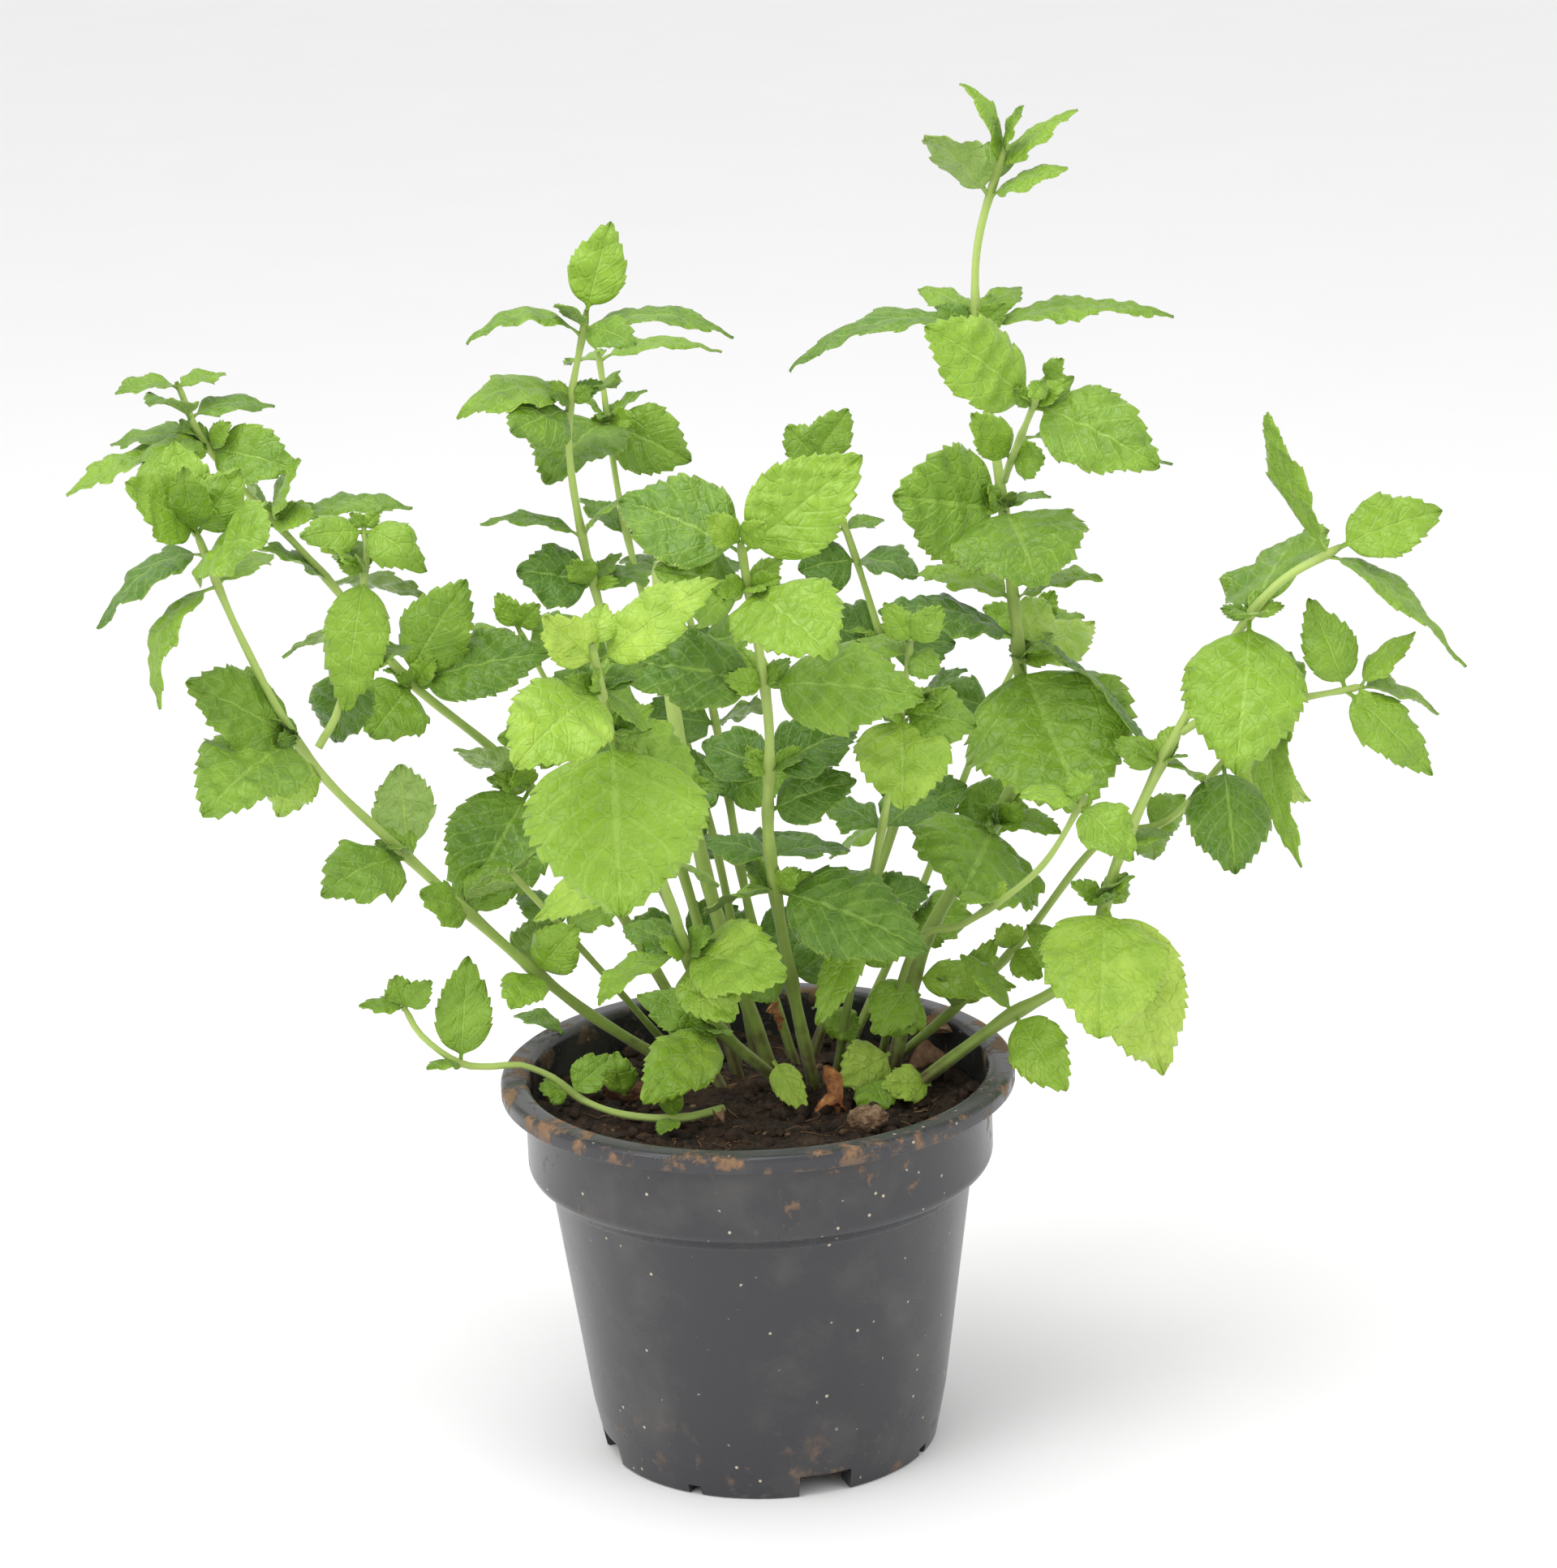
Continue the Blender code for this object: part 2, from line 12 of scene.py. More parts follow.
import bmesh
import bpy
import numpy as np
from mathutils import Matrix, Vector, noise


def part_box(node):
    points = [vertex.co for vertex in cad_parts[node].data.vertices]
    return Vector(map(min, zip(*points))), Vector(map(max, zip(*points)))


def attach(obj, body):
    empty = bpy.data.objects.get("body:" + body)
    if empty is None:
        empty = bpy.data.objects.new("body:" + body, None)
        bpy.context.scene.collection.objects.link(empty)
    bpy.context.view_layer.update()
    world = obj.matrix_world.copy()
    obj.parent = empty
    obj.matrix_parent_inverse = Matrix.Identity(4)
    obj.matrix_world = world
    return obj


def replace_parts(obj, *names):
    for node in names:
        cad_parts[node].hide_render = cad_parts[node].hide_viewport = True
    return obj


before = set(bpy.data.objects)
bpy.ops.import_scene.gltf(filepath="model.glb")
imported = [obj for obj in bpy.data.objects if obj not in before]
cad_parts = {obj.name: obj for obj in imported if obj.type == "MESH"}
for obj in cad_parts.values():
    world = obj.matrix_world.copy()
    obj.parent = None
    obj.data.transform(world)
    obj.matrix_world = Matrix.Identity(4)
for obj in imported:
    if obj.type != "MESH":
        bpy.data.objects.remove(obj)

MM = 0.001
BODY = "root"
log = logging.getLogger("mint")

Point = tuple[float, float, float]
Colour = tuple[float, float, float]

# Pot sizes, worked out from the pot's and the soil's boxes in the frame.
POT_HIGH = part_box("pot")[1]
RIM_RADIUS = POT_HIGH.x / MM
POT_HEIGHT = POT_HIGH.z / MM
SOIL_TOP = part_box("soil")[1].z / MM
WALL = 1.2
COLLAR_RADIUS = RIM_RADIUS - 6.0
COLLAR_BOTTOM = POT_HEIGHT - 22.0
WALL_TOP = POT_HEIGHT - 29.0
WALL_TOP_RADIUS = RIM_RADIUS - 11.6
WALL_FOOT = 13.0
WALL_FOOT_RADIUS = RIM_RADIUS - 19.6
FOOT_RADIUS = RIM_RADIUS - 22.4
FOOT_RING_INSIDE = FOOT_RADIUS - 6.6
CENTRE_PAD = 24.0
CHANNEL_TOP = 3.0
FLOOR_TOP = 4.5
LIP_HEIGHT = 4.5
LIP_SHEET = 1.7

# How leaves and stems are made.
VEINS_A_SIDE = 7.0
VEIN_SWEEP = 0.34
TOOTH_PITCH = 2.9
ROWS_A_MILLIMETRE = 1.7
FEWEST_ROWS, MOST_ROWS = 26, 84
BROAD_LEAF = 16.0
STEM_STEP = 3.0
STEM_SIDES = 16
LAST_NODE = 0.995
HIGHEST_BUDS = 0.93
BARE_NODES = ("runner", "right_branch")


class Facing(Enum):
    """Ways in which a leaf's upper side can face."""

    FRONT = (0.0, -1.0, 0.25)
    FRONT_UP = (0.0, -0.75, 0.65)
    UP = (0.0, -0.15, 1.0)
    BACK = (0.0, 0.9, 0.4)
    BACK_UP = (0.0, 0.55, 0.8)
    LEFT_UP = (-0.75, -0.35, 0.6)
    RIGHT_UP = (0.75, -0.35, 0.6)


FRONT, FRONT_UP, UP, BACK, BACK_UP, LEFT_UP, RIGHT_UP = Facing


class Graph:
    """A material's node tree, with short calls for the nodes used here."""

    def __init__(self, name: str) -> None:
        """Start an empty material with a Principled shader."""
        self.material = bpy.data.materials.new(name)
        self.material.use_nodes = True
        self.tree = self.material.node_tree
        self.shader = self.tree.nodes["Principled BSDF"]

    def node(self, kind: str, **settings: object) -> bpy.types.Node:
        """Add a node and set its plain settings.

        Args:
            kind: the node's Blender type.
            settings: its plain settings.

        Returns:
            The new node.
        """
        made = self.tree.nodes.new(kind)
        for name, value in settings.items():
            setattr(made, name, value)
        return made

    def feed(self, socket: bpy.types.NodeSocket, value: object) -> None:
        """Link an output to a socket, or set the socket's own value.

        Args:
            socket: the input to feed.
            value: an output to link, or a plain value.
        """
        if isinstance(value, bpy.types.NodeSocket):
            self.tree.links.new(value, socket)
        elif isinstance(value, tuple) and len(value) == 3 and socket.type == "RGBA":
            socket.default_value = (*value, 1.0)
        else:
            socket.default_value = value

    def maths(self, operation: str, *values: object) -> bpy.types.NodeSocket:
        """One Math node's result.

        Args:
            operation: the node's operation.
            values: outputs or plain numbers for its inputs.

        Returns:
            Its output.
        """
        made = self.node("ShaderNodeMath", operation=operation)
        for socket, value in zip(made.inputs, values):
            self.feed(socket, value)
        return made.outputs[0]

    def smooth(self, value: object, low: float, high: float) -> bpy.types.NodeSocket:
        """A smooth step from 0 at low to 1 at high.

        Args:
            value: what is compared.
            low: where the step starts.
            high: where it ends.

        Returns:
            The step's output.
        """
        made = self.node("ShaderNodeMapRange", interpolation_type="SMOOTHSTEP")
        for socket, given in zip(made.inputs, (value, low, high, 0.0, 1.0)):
            self.feed(socket, given)
        return made.outputs[0]

    def mix(self, share: object, first: object, second: object) -> bpy.types.NodeSocket:
        """A mix of two colours.

        Args:
            share: how much of the second colour.
            first: the first colour.
            second: the second colour.

        Returns:
            The mixed colour.
        """
        made = self.node("ShaderNodeMix", data_type="RGBA")
        self.feed(made.inputs[0], share)
        self.feed(made.inputs[6], first)
        self.feed(made.inputs[7], second)
        return made.outputs[2]

    def place(self) -> bpy.types.NodeSocket:
        """The object's own coordinates."""
        return self.node("ShaderNodeTexCoord").outputs["Object"]

    def noise(self, size: float, detail: float = 4.0, rough: float = 0.55) -> bpy.types.NodeSocket:
        """Noise whose patches are about a size in millimetres.

        Args:
            size: how wide its patches are, in millimetres.
            detail: how many finer layers it has.
            rough: how strong those layers are.

        Returns:
            The noise's output.
        """
        made = self.node("ShaderNodeTexNoise")
        self.feed(made.inputs["Vector"], self.place())
        made.inputs["Scale"].default_value = 1.0 / (size * MM)
        made.inputs["Detail"].default_value = detail
        made.inputs["Roughness"].default_value = rough
        return made.outputs[0]

    def bump(self, height: object, strength: float, depth: float) -> None:
        """Give the shader a bump with a depth in millimetres.

        Args:
            height: the relief.
            strength: how much of it counts.
            depth: its height in millimetres.
        """
        made = self.node("ShaderNodeBump")
        made.inputs["Strength"].default_value = strength
        made.inputs["Distance"].default_value = depth * MM
        self.feed(made.inputs["Height"], height)
        self.feed(self.shader.inputs["Normal"], made.outputs[0])

    def finish(self, colour: object, roughness: object) -> bpy.types.Material:
        """Set colour and roughness and hand over the material.

        Args:
            colour: the base colour.
            roughness: the roughness.

        Returns:
            The finished material.
        """
        self.feed(self.shader.inputs["Base Color"], colour)
        self.feed(self.shader.inputs["Roughness"], roughness)
        return self.material


@dataclass(frozen=True)
class LeafFinish:
    """A mint leaf's skin: green with paler veins, a grey-green underside."""

    # Each leaf's tone picks between the deep, common and pale greens. The deep green is partly real dark
    # leaves and partly painted shade on leaves at the back of the clump. The pale green is partly real
    # young leaves and partly a painted highlight on front leaves.
    light: Colour = (0.225, 0.40, 0.018)
    dark_and_shaded: Colour = (0.072, 0.180, 0.006)
    young_and_lit: Colour = (0.43, 0.61, 0.070)
    under: Colour = (0.27, 0.42, 0.085)
    vein: Colour = (0.40, 0.60, 0.10)
    rust: Colour = (0.30, 0.26, 0.05)
    mesh_size: float = 3.0
    mesh_bend: float = 3.5

    def network(self, g: Graph) -> bpy.types.NodeSocket:
        """Distance from the bent net of small veins.

        Args:
            g: the leaf's node tree.

        Returns:
            The distance.
        """
        bent = g.node("ShaderNodeTexNoise")
        g.feed(bent.inputs["Vector"], g.place())
        bent.inputs["Scale"].default_value = 1.0 / (6.0 * MM)
        shift = g.node("ShaderNodeVectorMath", operation="SCALE")
        g.feed(shift.inputs[0], bent.outputs["Color"])
        shift.inputs["Scale"].default_value = self.mesh_bend * MM
        moved = g.node("ShaderNodeVectorMath", operation="ADD")
        g.feed(moved.inputs[0], g.place())
        g.feed(moved.inputs[1], shift.outputs[0])
        net = g.node("ShaderNodeTexVoronoi", feature="DISTANCE_TO_EDGE")
        g.feed(net.inputs["Vector"], moved.outputs[0])
        net.inputs["Scale"].default_value = 1.0 / (self.mesh_size * MM)
        return net.outputs["Distance"]

    def material(self) -> bpy.types.Material:
        """Build the leaf skin's nodes, which read each leaf's own "leaf_place" values.

        Returns:
            The material.
        """
        g = Graph("mint_leaf")
        attribute = g.node("ShaderNodeAttribute", attribute_name="leaf_place")
        split = g.node("ShaderNodeSeparateXYZ")
        g.feed(split.inputs[0], attribute.outputs["Vector"])
        along, across, under = split.outputs
        tone = attribute.outputs["Alpha"]
        side = g.maths("ABSOLUTE", g.maths("SUBTRACT", g.maths("MULTIPLY", across, 2.0), 1.0))
        run = g.maths("SUBTRACT", along, g.maths("MULTIPLY", side, VEIN_SWEEP))
        phase = g.maths("FRACT", g.maths("ADD", g.maths("MULTIPLY", run, VEINS_A_SIDE), 10.0))
        off = g.maths("ABSOLUTE", g.maths("SUBTRACT", phase, 0.5))
        lateral = g.smooth(off, 0.37, 0.5)
        middle = g.smooth(side, 0.07, 0.015)
        veins = g.maths("MAXIMUM", g.maths("MULTIPLY", lateral, 0.55), middle)
        patch = g.noise(9.0, 3.0)
        # The leaf's tone, with some noise, moves it from deep through common to pale green. This is real
        # dark and young leaves, and also painted shade on back leaves and a painted highlight on front
        # leaves.
        shade = g.maths("ADD", tone, g.maths("MULTIPLY", g.maths("SUBTRACT", patch, 0.5), 0.5))
        body = g.mix(g.smooth(shade, 0.12, 0.72), self.dark_and_shaded, self.light)
        body = g.mix(g.smooth(shade, 0.72, 1.1), body, self.young_and_lit)
        cells = g.smooth(self.network(g), 0.0, 0.16)
        body = g.mix(g.maths("MULTIPLY", g.maths("SUBTRACT", 1.0, cells), 0.10), body, self.vein)
        top = g.mix(g.maths("MULTIPLY", veins, 0.38), body, self.vein)
        below = g.mix(g.maths("MULTIPLY", veins, 0.5), self.under, self.young_and_lit)
        colour = g.mix(under, top, below)
        edge = g.smooth(side, 0.9, 1.0)
        colour = g.mix(g.maths("MULTIPLY", edge, 0.25), colour, self.young_and_lit)
        speck = g.smooth(g.noise(1.3, 2.0), 0.73, 0.80)
        colour = g.mix(g.maths("MULTIPLY", speck, 0.3), colour, self.rust)
        grain = g.maths("MULTIPLY", g.noise(1.6, 3.0), 0.7)
        relief = g.maths("ADD", g.maths("MULTIPLY", cells, 0.9), grain)
        relief = g.maths("SUBTRACT", relief, g.maths("MULTIPLY", veins, 1.3))
        g.bump(relief, 0.60, 0.36)
        g.shader.inputs["Specular IOR Level"].default_value = 0.5
        g.shader.inputs["Sheen Weight"].default_value = 0.10
        return g.finish(colour, g.maths("ADD", 0.30, g.maths("MULTIPLY", patch, 0.16)))


@dataclass(frozen=True)
class StemFinish:
    """A stem's skin: brown and purplish at the foot, yellow-green above."""

    foot: Colour = (0.085, 0.040, 0.018)
    middle: Colour = (0.24, 0.36, 0.050)
    top: Colour = (0.42, 0.56, 0.13)
    joint: Colour = (0.17, 0.24, 0.03)

    def material(self) -> bpy.types.Material:
        """Build the stem skin's nodes.

        Returns:
            The material.
        """
        g = Graph("mint_stem")
        attribute = g.node("ShaderNodeAttribute", attribute_name="stem_place")
        split = g.node("ShaderNodeSeparateXYZ")
        g.feed(split.inputs[0], attribute.outputs["Vector"])
        height, ridge, node_near = split.outputs
        mottle = g.maths("MULTIPLY", g.maths("SUBTRACT", g.noise(5.0), 0.5), 0.35)
        mottled = g.maths("ADD", height, mottle)
        colour = g.mix(g.smooth(mottled, 0.02, 0.22), self.foot, self.middle)
        colour = g.mix(g.smooth(mottled, 0.18, 0.75), colour, self.top)
        colour = g.mix(g.maths("MULTIPLY", ridge, 0.35), colour, self.top)
        colour = g.mix(g.maths("MULTIPLY", node_near, 0.45), colour, self.joint)
        g.bump(g.noise(0.7, 3.0), 0.6, 0.25)
        g.shader.inputs["Sheen Weight"].default_value = 0.2
        return g.finish(colour, 0.52)


@dataclass(frozen=True)
class PotPlastic:
    """Grey-black moulded plastic with dust, grit and dried soil."""

    plastic: Colour = (0.034, 0.034, 0.038)
    dust: Colour = (0.17, 0.155, 0.135)
    mud: Colour = (0.30, 0.185, 0.10)
    wet_mud: Colour = (0.13, 0.065, 0.03)
    grit: Colour = (0.55, 0.47, 0.36)

    def material(self) -> bpy.types.Material:
        """Build the pot's nodes; dirt gathers on the rim and by the foot.

        Returns:
            The material.
        """
        g = Graph("pot_plastic")
        split = g.node("ShaderNodeSeparateXYZ")
        g.feed(split.inputs[0], g.place())
        z = split.outputs[2]
        rim = g.smooth(z, (POT_HEIGHT - 7.0) * MM, (POT_HEIGHT - 1.0) * MM)
        foot = g.smooth(z, 26.0 * MM, 3.0 * MM)
        collar = g.smooth(z, (COLLAR_BOTTOM - 4.0) * MM, (COLLAR_BOTTOM + 4.0) * MM)
        cloud = g.noise(22.0, 5.0, 0.6)
        smears = g.maths("MULTIPLY", g.smooth(cloud, 0.48, 0.80), 0.26)
        colour = g.mix(smears, self.plastic, self.dust)
        blotch = g.noise(8.0, 6.0, 0.65)
        on_rim = g.maths("MULTIPLY", g.smooth(blotch, 0.50, 0.60), rim)
        by_foot = g.maths("MULTIPLY", g.smooth(blotch, 0.55, 0.68), g.maths("MULTIPLY", foot, 0.6))
        thin = g.maths("MULTIPLY", collar, 0.6)
        on_collar = g.maths("MULTIPLY", g.smooth(blotch, 0.60, 0.68), thin)
        mud = g.maths("MAXIMUM", g.maths("MAXIMUM", on_rim, by_foot), on_collar)
        brown = g.mix(g.noise(2.0, 4.0), self.wet_mud, self.mud)
        colour = g.mix(mud, colour, brown)
        cells = g.node("ShaderNodeTexVoronoi")
        g.feed(cells.inputs["Vector"], g.place())
        cells.inputs["Scale"].default_value = 1.0 / (4.2 * MM)
        dot = g.smooth(cells.outputs["Distance"], 0.13, 0.07)
        chosen = g.smooth(g.noise(3.6, 1.0), 0.52, 0.56)
        speck = g.maths("MULTIPLY", dot, chosen)
        colour = g.mix(speck, colour, self.grit)
        rough = g.maths("ADD", g.maths("MULTIPLY", g.maths("MAXIMUM", mud, speck), 0.5), 0.26)
        rough = g.maths("ADD", rough, g.maths("MULTIPLY", smears, 0.4))
        g.bump(g.maths("ADD", mud, g.maths("MULTIPLY", speck, 0.8)), 0.7, 0.5)
        return g.finish(colour, rough)


@dataclass(frozen=True)
class GroundFinish:
    """Peat, bark or dead leaf: two browns mottled over a rough relief."""

    name: str
    dark: Colour
    light: Colour
    grain: float
    rough: float = 0.9
    relief: float = 0.8

    def material(self) -> bpy.types.Material:
        """Build the mottled brown nodes.

        Returns:
            The material.
        """
        g = Graph(self.name)
        fine = g.noise(self.grain, 6.0, 0.7)
        coarse = g.noise(self.grain * 5.0, 4.0)
        share = g.maths("ADD", g.maths("MULTIPLY", fine, 0.6), g.maths("MULTIPLY", coarse, 0.4))
        colour = g.mix(g.smooth(share, 0.38, 0.66), self.dark, self.light)
        g.bump(fine, 0.9, self.relief)
        return g.finish(colour, self.rough)


class Shape:
    """Points, faces and per-point values gathered for one mesh object."""

    def __init__(self) -> None:
        """Start empty."""
        self.points: list[np.ndarray] = []
        self.faces: list[np.ndarray] = []
        self.values: list[np.ndarray] = []
        self.count = 0

    def add(self, points: np.ndarray, faces: np.ndarray, values: np.ndarray) -> None:
        """Add a patch of points, quads and values.

        Args:
            points: places in millimetres.
            faces: quads over those points.
            values: four values for each point.
        """
        self.points.append(points)
        self.faces.append(faces + self.count)
        self.values.append(values)
        self.count += len(points)

    def object(self, name: str, material: bpy.types.Material, attribute: str,
               slot: str) -> bpy.types.Object:
        """Make the object, smooth shaded, riding on the pot's body.

        Args:
            name: the piece's name.
            material: its skin.
            attribute: the name under which the per-point values are kept.
            slot: not used.

        Returns:
            The new object.
        """
        mesh = bpy.data.meshes.new(name)
        points = np.concatenate(self.points) * MM
        faces = np.concatenate(self.faces)
        mesh.from_pydata(points.tolist(), [], faces.tolist())
        layer = mesh.attributes.new(attribute, "FLOAT_COLOR", "POINT")
        layer.data.foreach_set("color", np.concatenate(self.values).astype(np.float32).ravel())
        mesh.update()
        return place_piece(name, mesh, material)


def place_piece(name: str, mesh: bpy.types.Mesh, material: bpy.types.Material) -> bpy.types.Object:
    """Link a mesh as a smooth piece on the body, with its material.

    Args:
        name: the piece's name.
        mesh: its mesh, in metres.
        material: its skin.

    Returns:
        The new object.
    """
    obj = bpy.data.objects.new(name, mesh)
    bpy.context.scene.collection.objects.link(obj)
    obj.data.materials.append(material)
    obj.data.shade_smooth()
    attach(obj, BODY)
    return obj


def grid_faces(rows: int, columns: int, closed: bool = False) -> np.ndarray:
    """Quads of a grid of points, row by row; closed joins its last column to its first.

    Args:
        rows: rows of points.
        columns: points in a row.
        closed: whether each row is a ring.

    Returns:
        Point numbers, four to a quad.
    """
    last = columns if closed else columns - 1
    row, column = np.meshgrid(np.arange(rows - 1), np.arange(last), indexing="ij")
    here = row * columns + column
    right = row * columns + (column + 1) % columns
    return np.stack([here, right, right + columns, here + columns], -1).reshape(-1, 4)


def sheet_faces(rows: int, columns: int) -> np.ndarray:
    """Quads of a thin closed sheet: a grid above, one below and the edge between them.

    Args:
        rows: rows of points in each grid.
        columns: columns of points in each grid.

    Returns:
        Point numbers, four to a quad.
    """
    quads = grid_faces(rows, columns)
    size = rows * columns
    ring = np.concatenate([np.arange(columns), np.arange(2 * columns, size + 1, columns) - 1,
                           np.arange(size - 2, size - columns - 1, -1),
                           np.arange(size - 2 * columns, 0, -columns)])
    following = np.roll(ring, -1)
    edge = np.stack([ring, ring + size, following + size, following], -1)
    return np.concatenate([quads, quads[:, ::-1] + size, edge])


def unit(vectors: np.ndarray) -> np.ndarray:
    """Vectors at length one."""
    return vectors / np.maximum(np.linalg.norm(vectors, axis=-1, keepdims=True), 1e-9)


@dataclass(frozen=True)
class Leaf:
    """A mint leaf, given by where its tip is from its place on the stem.

    Attributes:
        reach: tip from the stem, in millimetres.
        width: widest span across the blade.
        faces: how its upper side faces.
        bow: how far its midrib arches, as a share of its length.
        tone: 0 for the common green; higher for young leaves and, as a painted highlight, for lit front
            leaves; lower for dark leaves and, as painted shade, for leaves at the back and inside the
            clump.
    """

    reach: Point
    width: float
    faces: Facing = Facing.FRONT_UP
    bow: float = 0.12
    tone: int = 0

    def outline(self, along: np.ndarray) -> np.ndarray:
        """Half width along the leaf: a thin stalk, then an oval with a pointed end.

        Args:
            along: shares of the leaf's length.

        Returns:
            Half widths in millimetres.
        """
        blade = np.clip((along - 0.10) / 0.90, 0.0, 1.0)
        oval = np.sin(np.pi * blade ** 0.72) ** 0.72 * (1.0 - 0.22 * blade ** 3)
        return np.maximum(oval * self.width * 0.53, 0.55 * (1.0 - 0.7 * along))

    def midrib(self, along: np.ndarray, length: float) -> np.ndarray:
        """Points of the arched midrib, measured from the stem.

        Args:
            along: shares of the leaf's length.
            length: the leaf's length.

        Returns:
            Points, a row for each share.
        """
        reach = np.array(self.reach, float)
        middle = reach / 2.0 + unit(np.array(self.faces.value)) * self.bow * length * 1.15
        return middle * 2.0 * along * (1.0 - along) + reach * along ** 2

    def saw(self, draw: random.Random, along: np.ndarray, across: np.ndarray, length: float) -> np.ndarray:
        """How far each forward-pointing tooth has risen, from 0 to 1.

        Args:
            draw: the leaf's own random numbers.
            along: shares of the leaf's length.
            across: places across it, from -1 to 1.
            length: the leaf's length.

        Returns:
            The rise at each place.
        """
        uneven = 0.35 * np.sin(along * draw.uniform(7.0, 13.0) + draw.random() * 6.0 + np.sign(across))
        return (along * max(7.0, length / TOOTH_PITCH) + uneven + draw.random()) % 1.0

    def quilting(self, along: np.ndarray, across: np.ndarray) -> np.ndarray:
        """Height of the bulges between the sunken veins.

        Args:
            along: shares of the leaf's length.
            across: places across it, from -1 to 1.

        Returns:
            Heights in millimetres.
        """
        phase = (along - VEIN_SWEEP * np.abs(across)) * VEINS_A_SIDE + 10.5
        bulge = np.sin(np.pi * (phase % 1.0)) ** 0.7
        cells = 0.72 + 0.28 * np.abs(np.sin(np.abs(across) * 8.0 + np.floor(phase) * 1.7))
        valley = 1.0 - np.exp(-((across / 0.13) ** 2))
        bulge = bulge * cells * valley * (1.0 - 0.5 * np.abs(across) ** 4)
        return (0.30 + 0.020 * self.width) * bulge * np.clip((along - 0.1) / 0.1, 0.0, 1.0)

    def crinkles(self, draw: random.Random, along: np.ndarray, across: np.ndarray,
                 length: float) -> np.ndarray:
        """Height of four crossing sets of crinkles.

        Args:
            draw: the leaf's own random numbers.
            along: shares of the leaf's length.
            across: places across it, in millimetres.
            length: the leaf's length.

        Returns:
            Heights in millimetres.
        """
        height = np.zeros_like(across)
        for _ in range(4):
            pitch, slope, lag = draw.uniform(4.5, 9.0), draw.uniform(-1.2, 1.2), draw.uniform(0.0, 6.3)
            height = height + np.sin(2.0 * np.pi * (along * length + slope * across) / pitch + lag)
        return height * 0.011 * min(self.width, 26.0) * np.clip((along - 0.08) / 0.2, 0.0, 1.0)

    def edge_waves(self, draw: random.Random, along: np.ndarray, across: np.ndarray) -> np.ndarray:
        """Height of the waves along the leaf's edge.

        Args:
            draw: the leaf's own random numbers.
            along: shares of the leaf's length.
            across: places across it, from -1 to 1.

        Returns:
            Heights in millimetres.
        """
        phase = 2.0 * np.pi * draw.uniform(1.6, 3.2) * along + draw.uniform(0.0, 6.28)
        wave = np.sin(phase + 1.6 * np.sign(across)) * np.abs(across) ** 2.4
        return wave * draw.uniform(0.04, 0.085) * self.width * np.sin(np.pi * along)

    def patch(self, start: np.ndarray, seed: int) -> tuple[np.ndarray, np.ndarray, np.ndarray]:
        """Mesh the leaf from its place on the stem.

        Args:
            start: the place on the stem.
            seed: picks this leaf's own waves and teeth.

        Returns:
            Points, quads and (along, across, underside, tone) values.
        """
        draw = random.Random(seed)
        length = float(np.linalg.norm(self.reach))
        rows = int(np.clip(length * ROWS_A_MILLIMETRE, FEWEST_ROWS, MOST_ROWS))
        columns = 19 if self.width > BROAD_LEAF else 15
        along = np.linspace(0.0, 1.0, rows)[:, None]
        across = np.linspace(-1.0, 1.0, columns)[None, :]
        rib = self.midrib(along, length)
        way = unit(np.gradient(rib, axis=0))
        faces = unit(np.array(self.faces.value))
        side = unit(np.cross(unit(np.array(self.reach, float)), faces))
        up = unit(np.cross(side, way))
        twist = draw.uniform(-0.22, 0.22) * along
        side = side * np.cos(twist) + up * np.sin(twist)
        up = unit(np.cross(side, way))
        half = self.outline(along)
        saw = self.saw(draw, along, across, length)
        edge = np.abs(across) ** 6
        toothed = edge * np.clip((along - 0.16) / 0.1, 0.0, 1.0) * np.clip((1.0 - along) / 0.05, 0.0, 1.0)
        bite = toothed * (0.25 + 0.030 * self.width) * (1.0 + 0.45 * np.sin(along * 31.0 + seed))
        spread = across * half + np.sign(across) * bite * (saw - 0.62)
        height = self.quilting(along, across)
        height = height + draw.uniform(0.08, 0.24) * np.abs(across) ** 1.4 * half
        height = height - draw.uniform(0.02, 0.38) * np.abs(across) ** 3 * half
        height = height + self.crinkles(draw, along, across * half, length)
        height = height + self.edge_waves(draw, along, across)
        rib = rib - faces * draw.uniform(0.0, 0.05) * length * along ** 3
        lean = toothed * 0.9 * (saw - 0.3)
        top = rib[:, None] + side[:, None] * spread[..., None]
        top = top + up[:, None] * height[..., None] + way[:, None] * lean[..., None]
        thick = (0.26 + 0.9 * np.exp(-along / 0.07)) * (1.0 - 0.75 * np.abs(across) ** 8)
        under = top - up[:, None] * thick[..., None]
        values = np.empty((2, rows, columns, 4))
        values[..., 0] = along
        values[..., 1] = (across + 1.0) / 2.0
        values[0, ..., 2] = 0.0
        values[1, ..., 2] = 1.0
        # The fourth value is the leaf's tone. It is paler for young leaves and for a painted highlight on
        # front leaves, and darker for dark leaves and for painted shade at the back.
        values[..., 3] = 0.50 + 0.17 * self.tone + draw.uniform(-0.07, 0.07)
        points = np.stack([top, under]).reshape(-1, 3) + start
        return points, sheet_faces(rows, columns), values.reshape(-1, 4)


def leaf(x: float, y: float, z: float, width: float, faces: Facing = FRONT_UP, bow: float = 0.12,
         tone: int = 0) -> Leaf:
    """A leaf from its tip's distance from the stem, its width, facing, arch and tone."""
    return Leaf((x, y, z), width, faces, bow, tone)


@dataclass(frozen=True)
class Whorl:
    """Leaves that leave a stem together.

    Attributes:
        at: place along the stem, as a share of its length.
        leaves: the leaves there.
        node: the CAD node that they stand for, or none for leaves with no node.
    """

    at: float
    leaves: tuple[Leaf, ...]
    node: str = ""


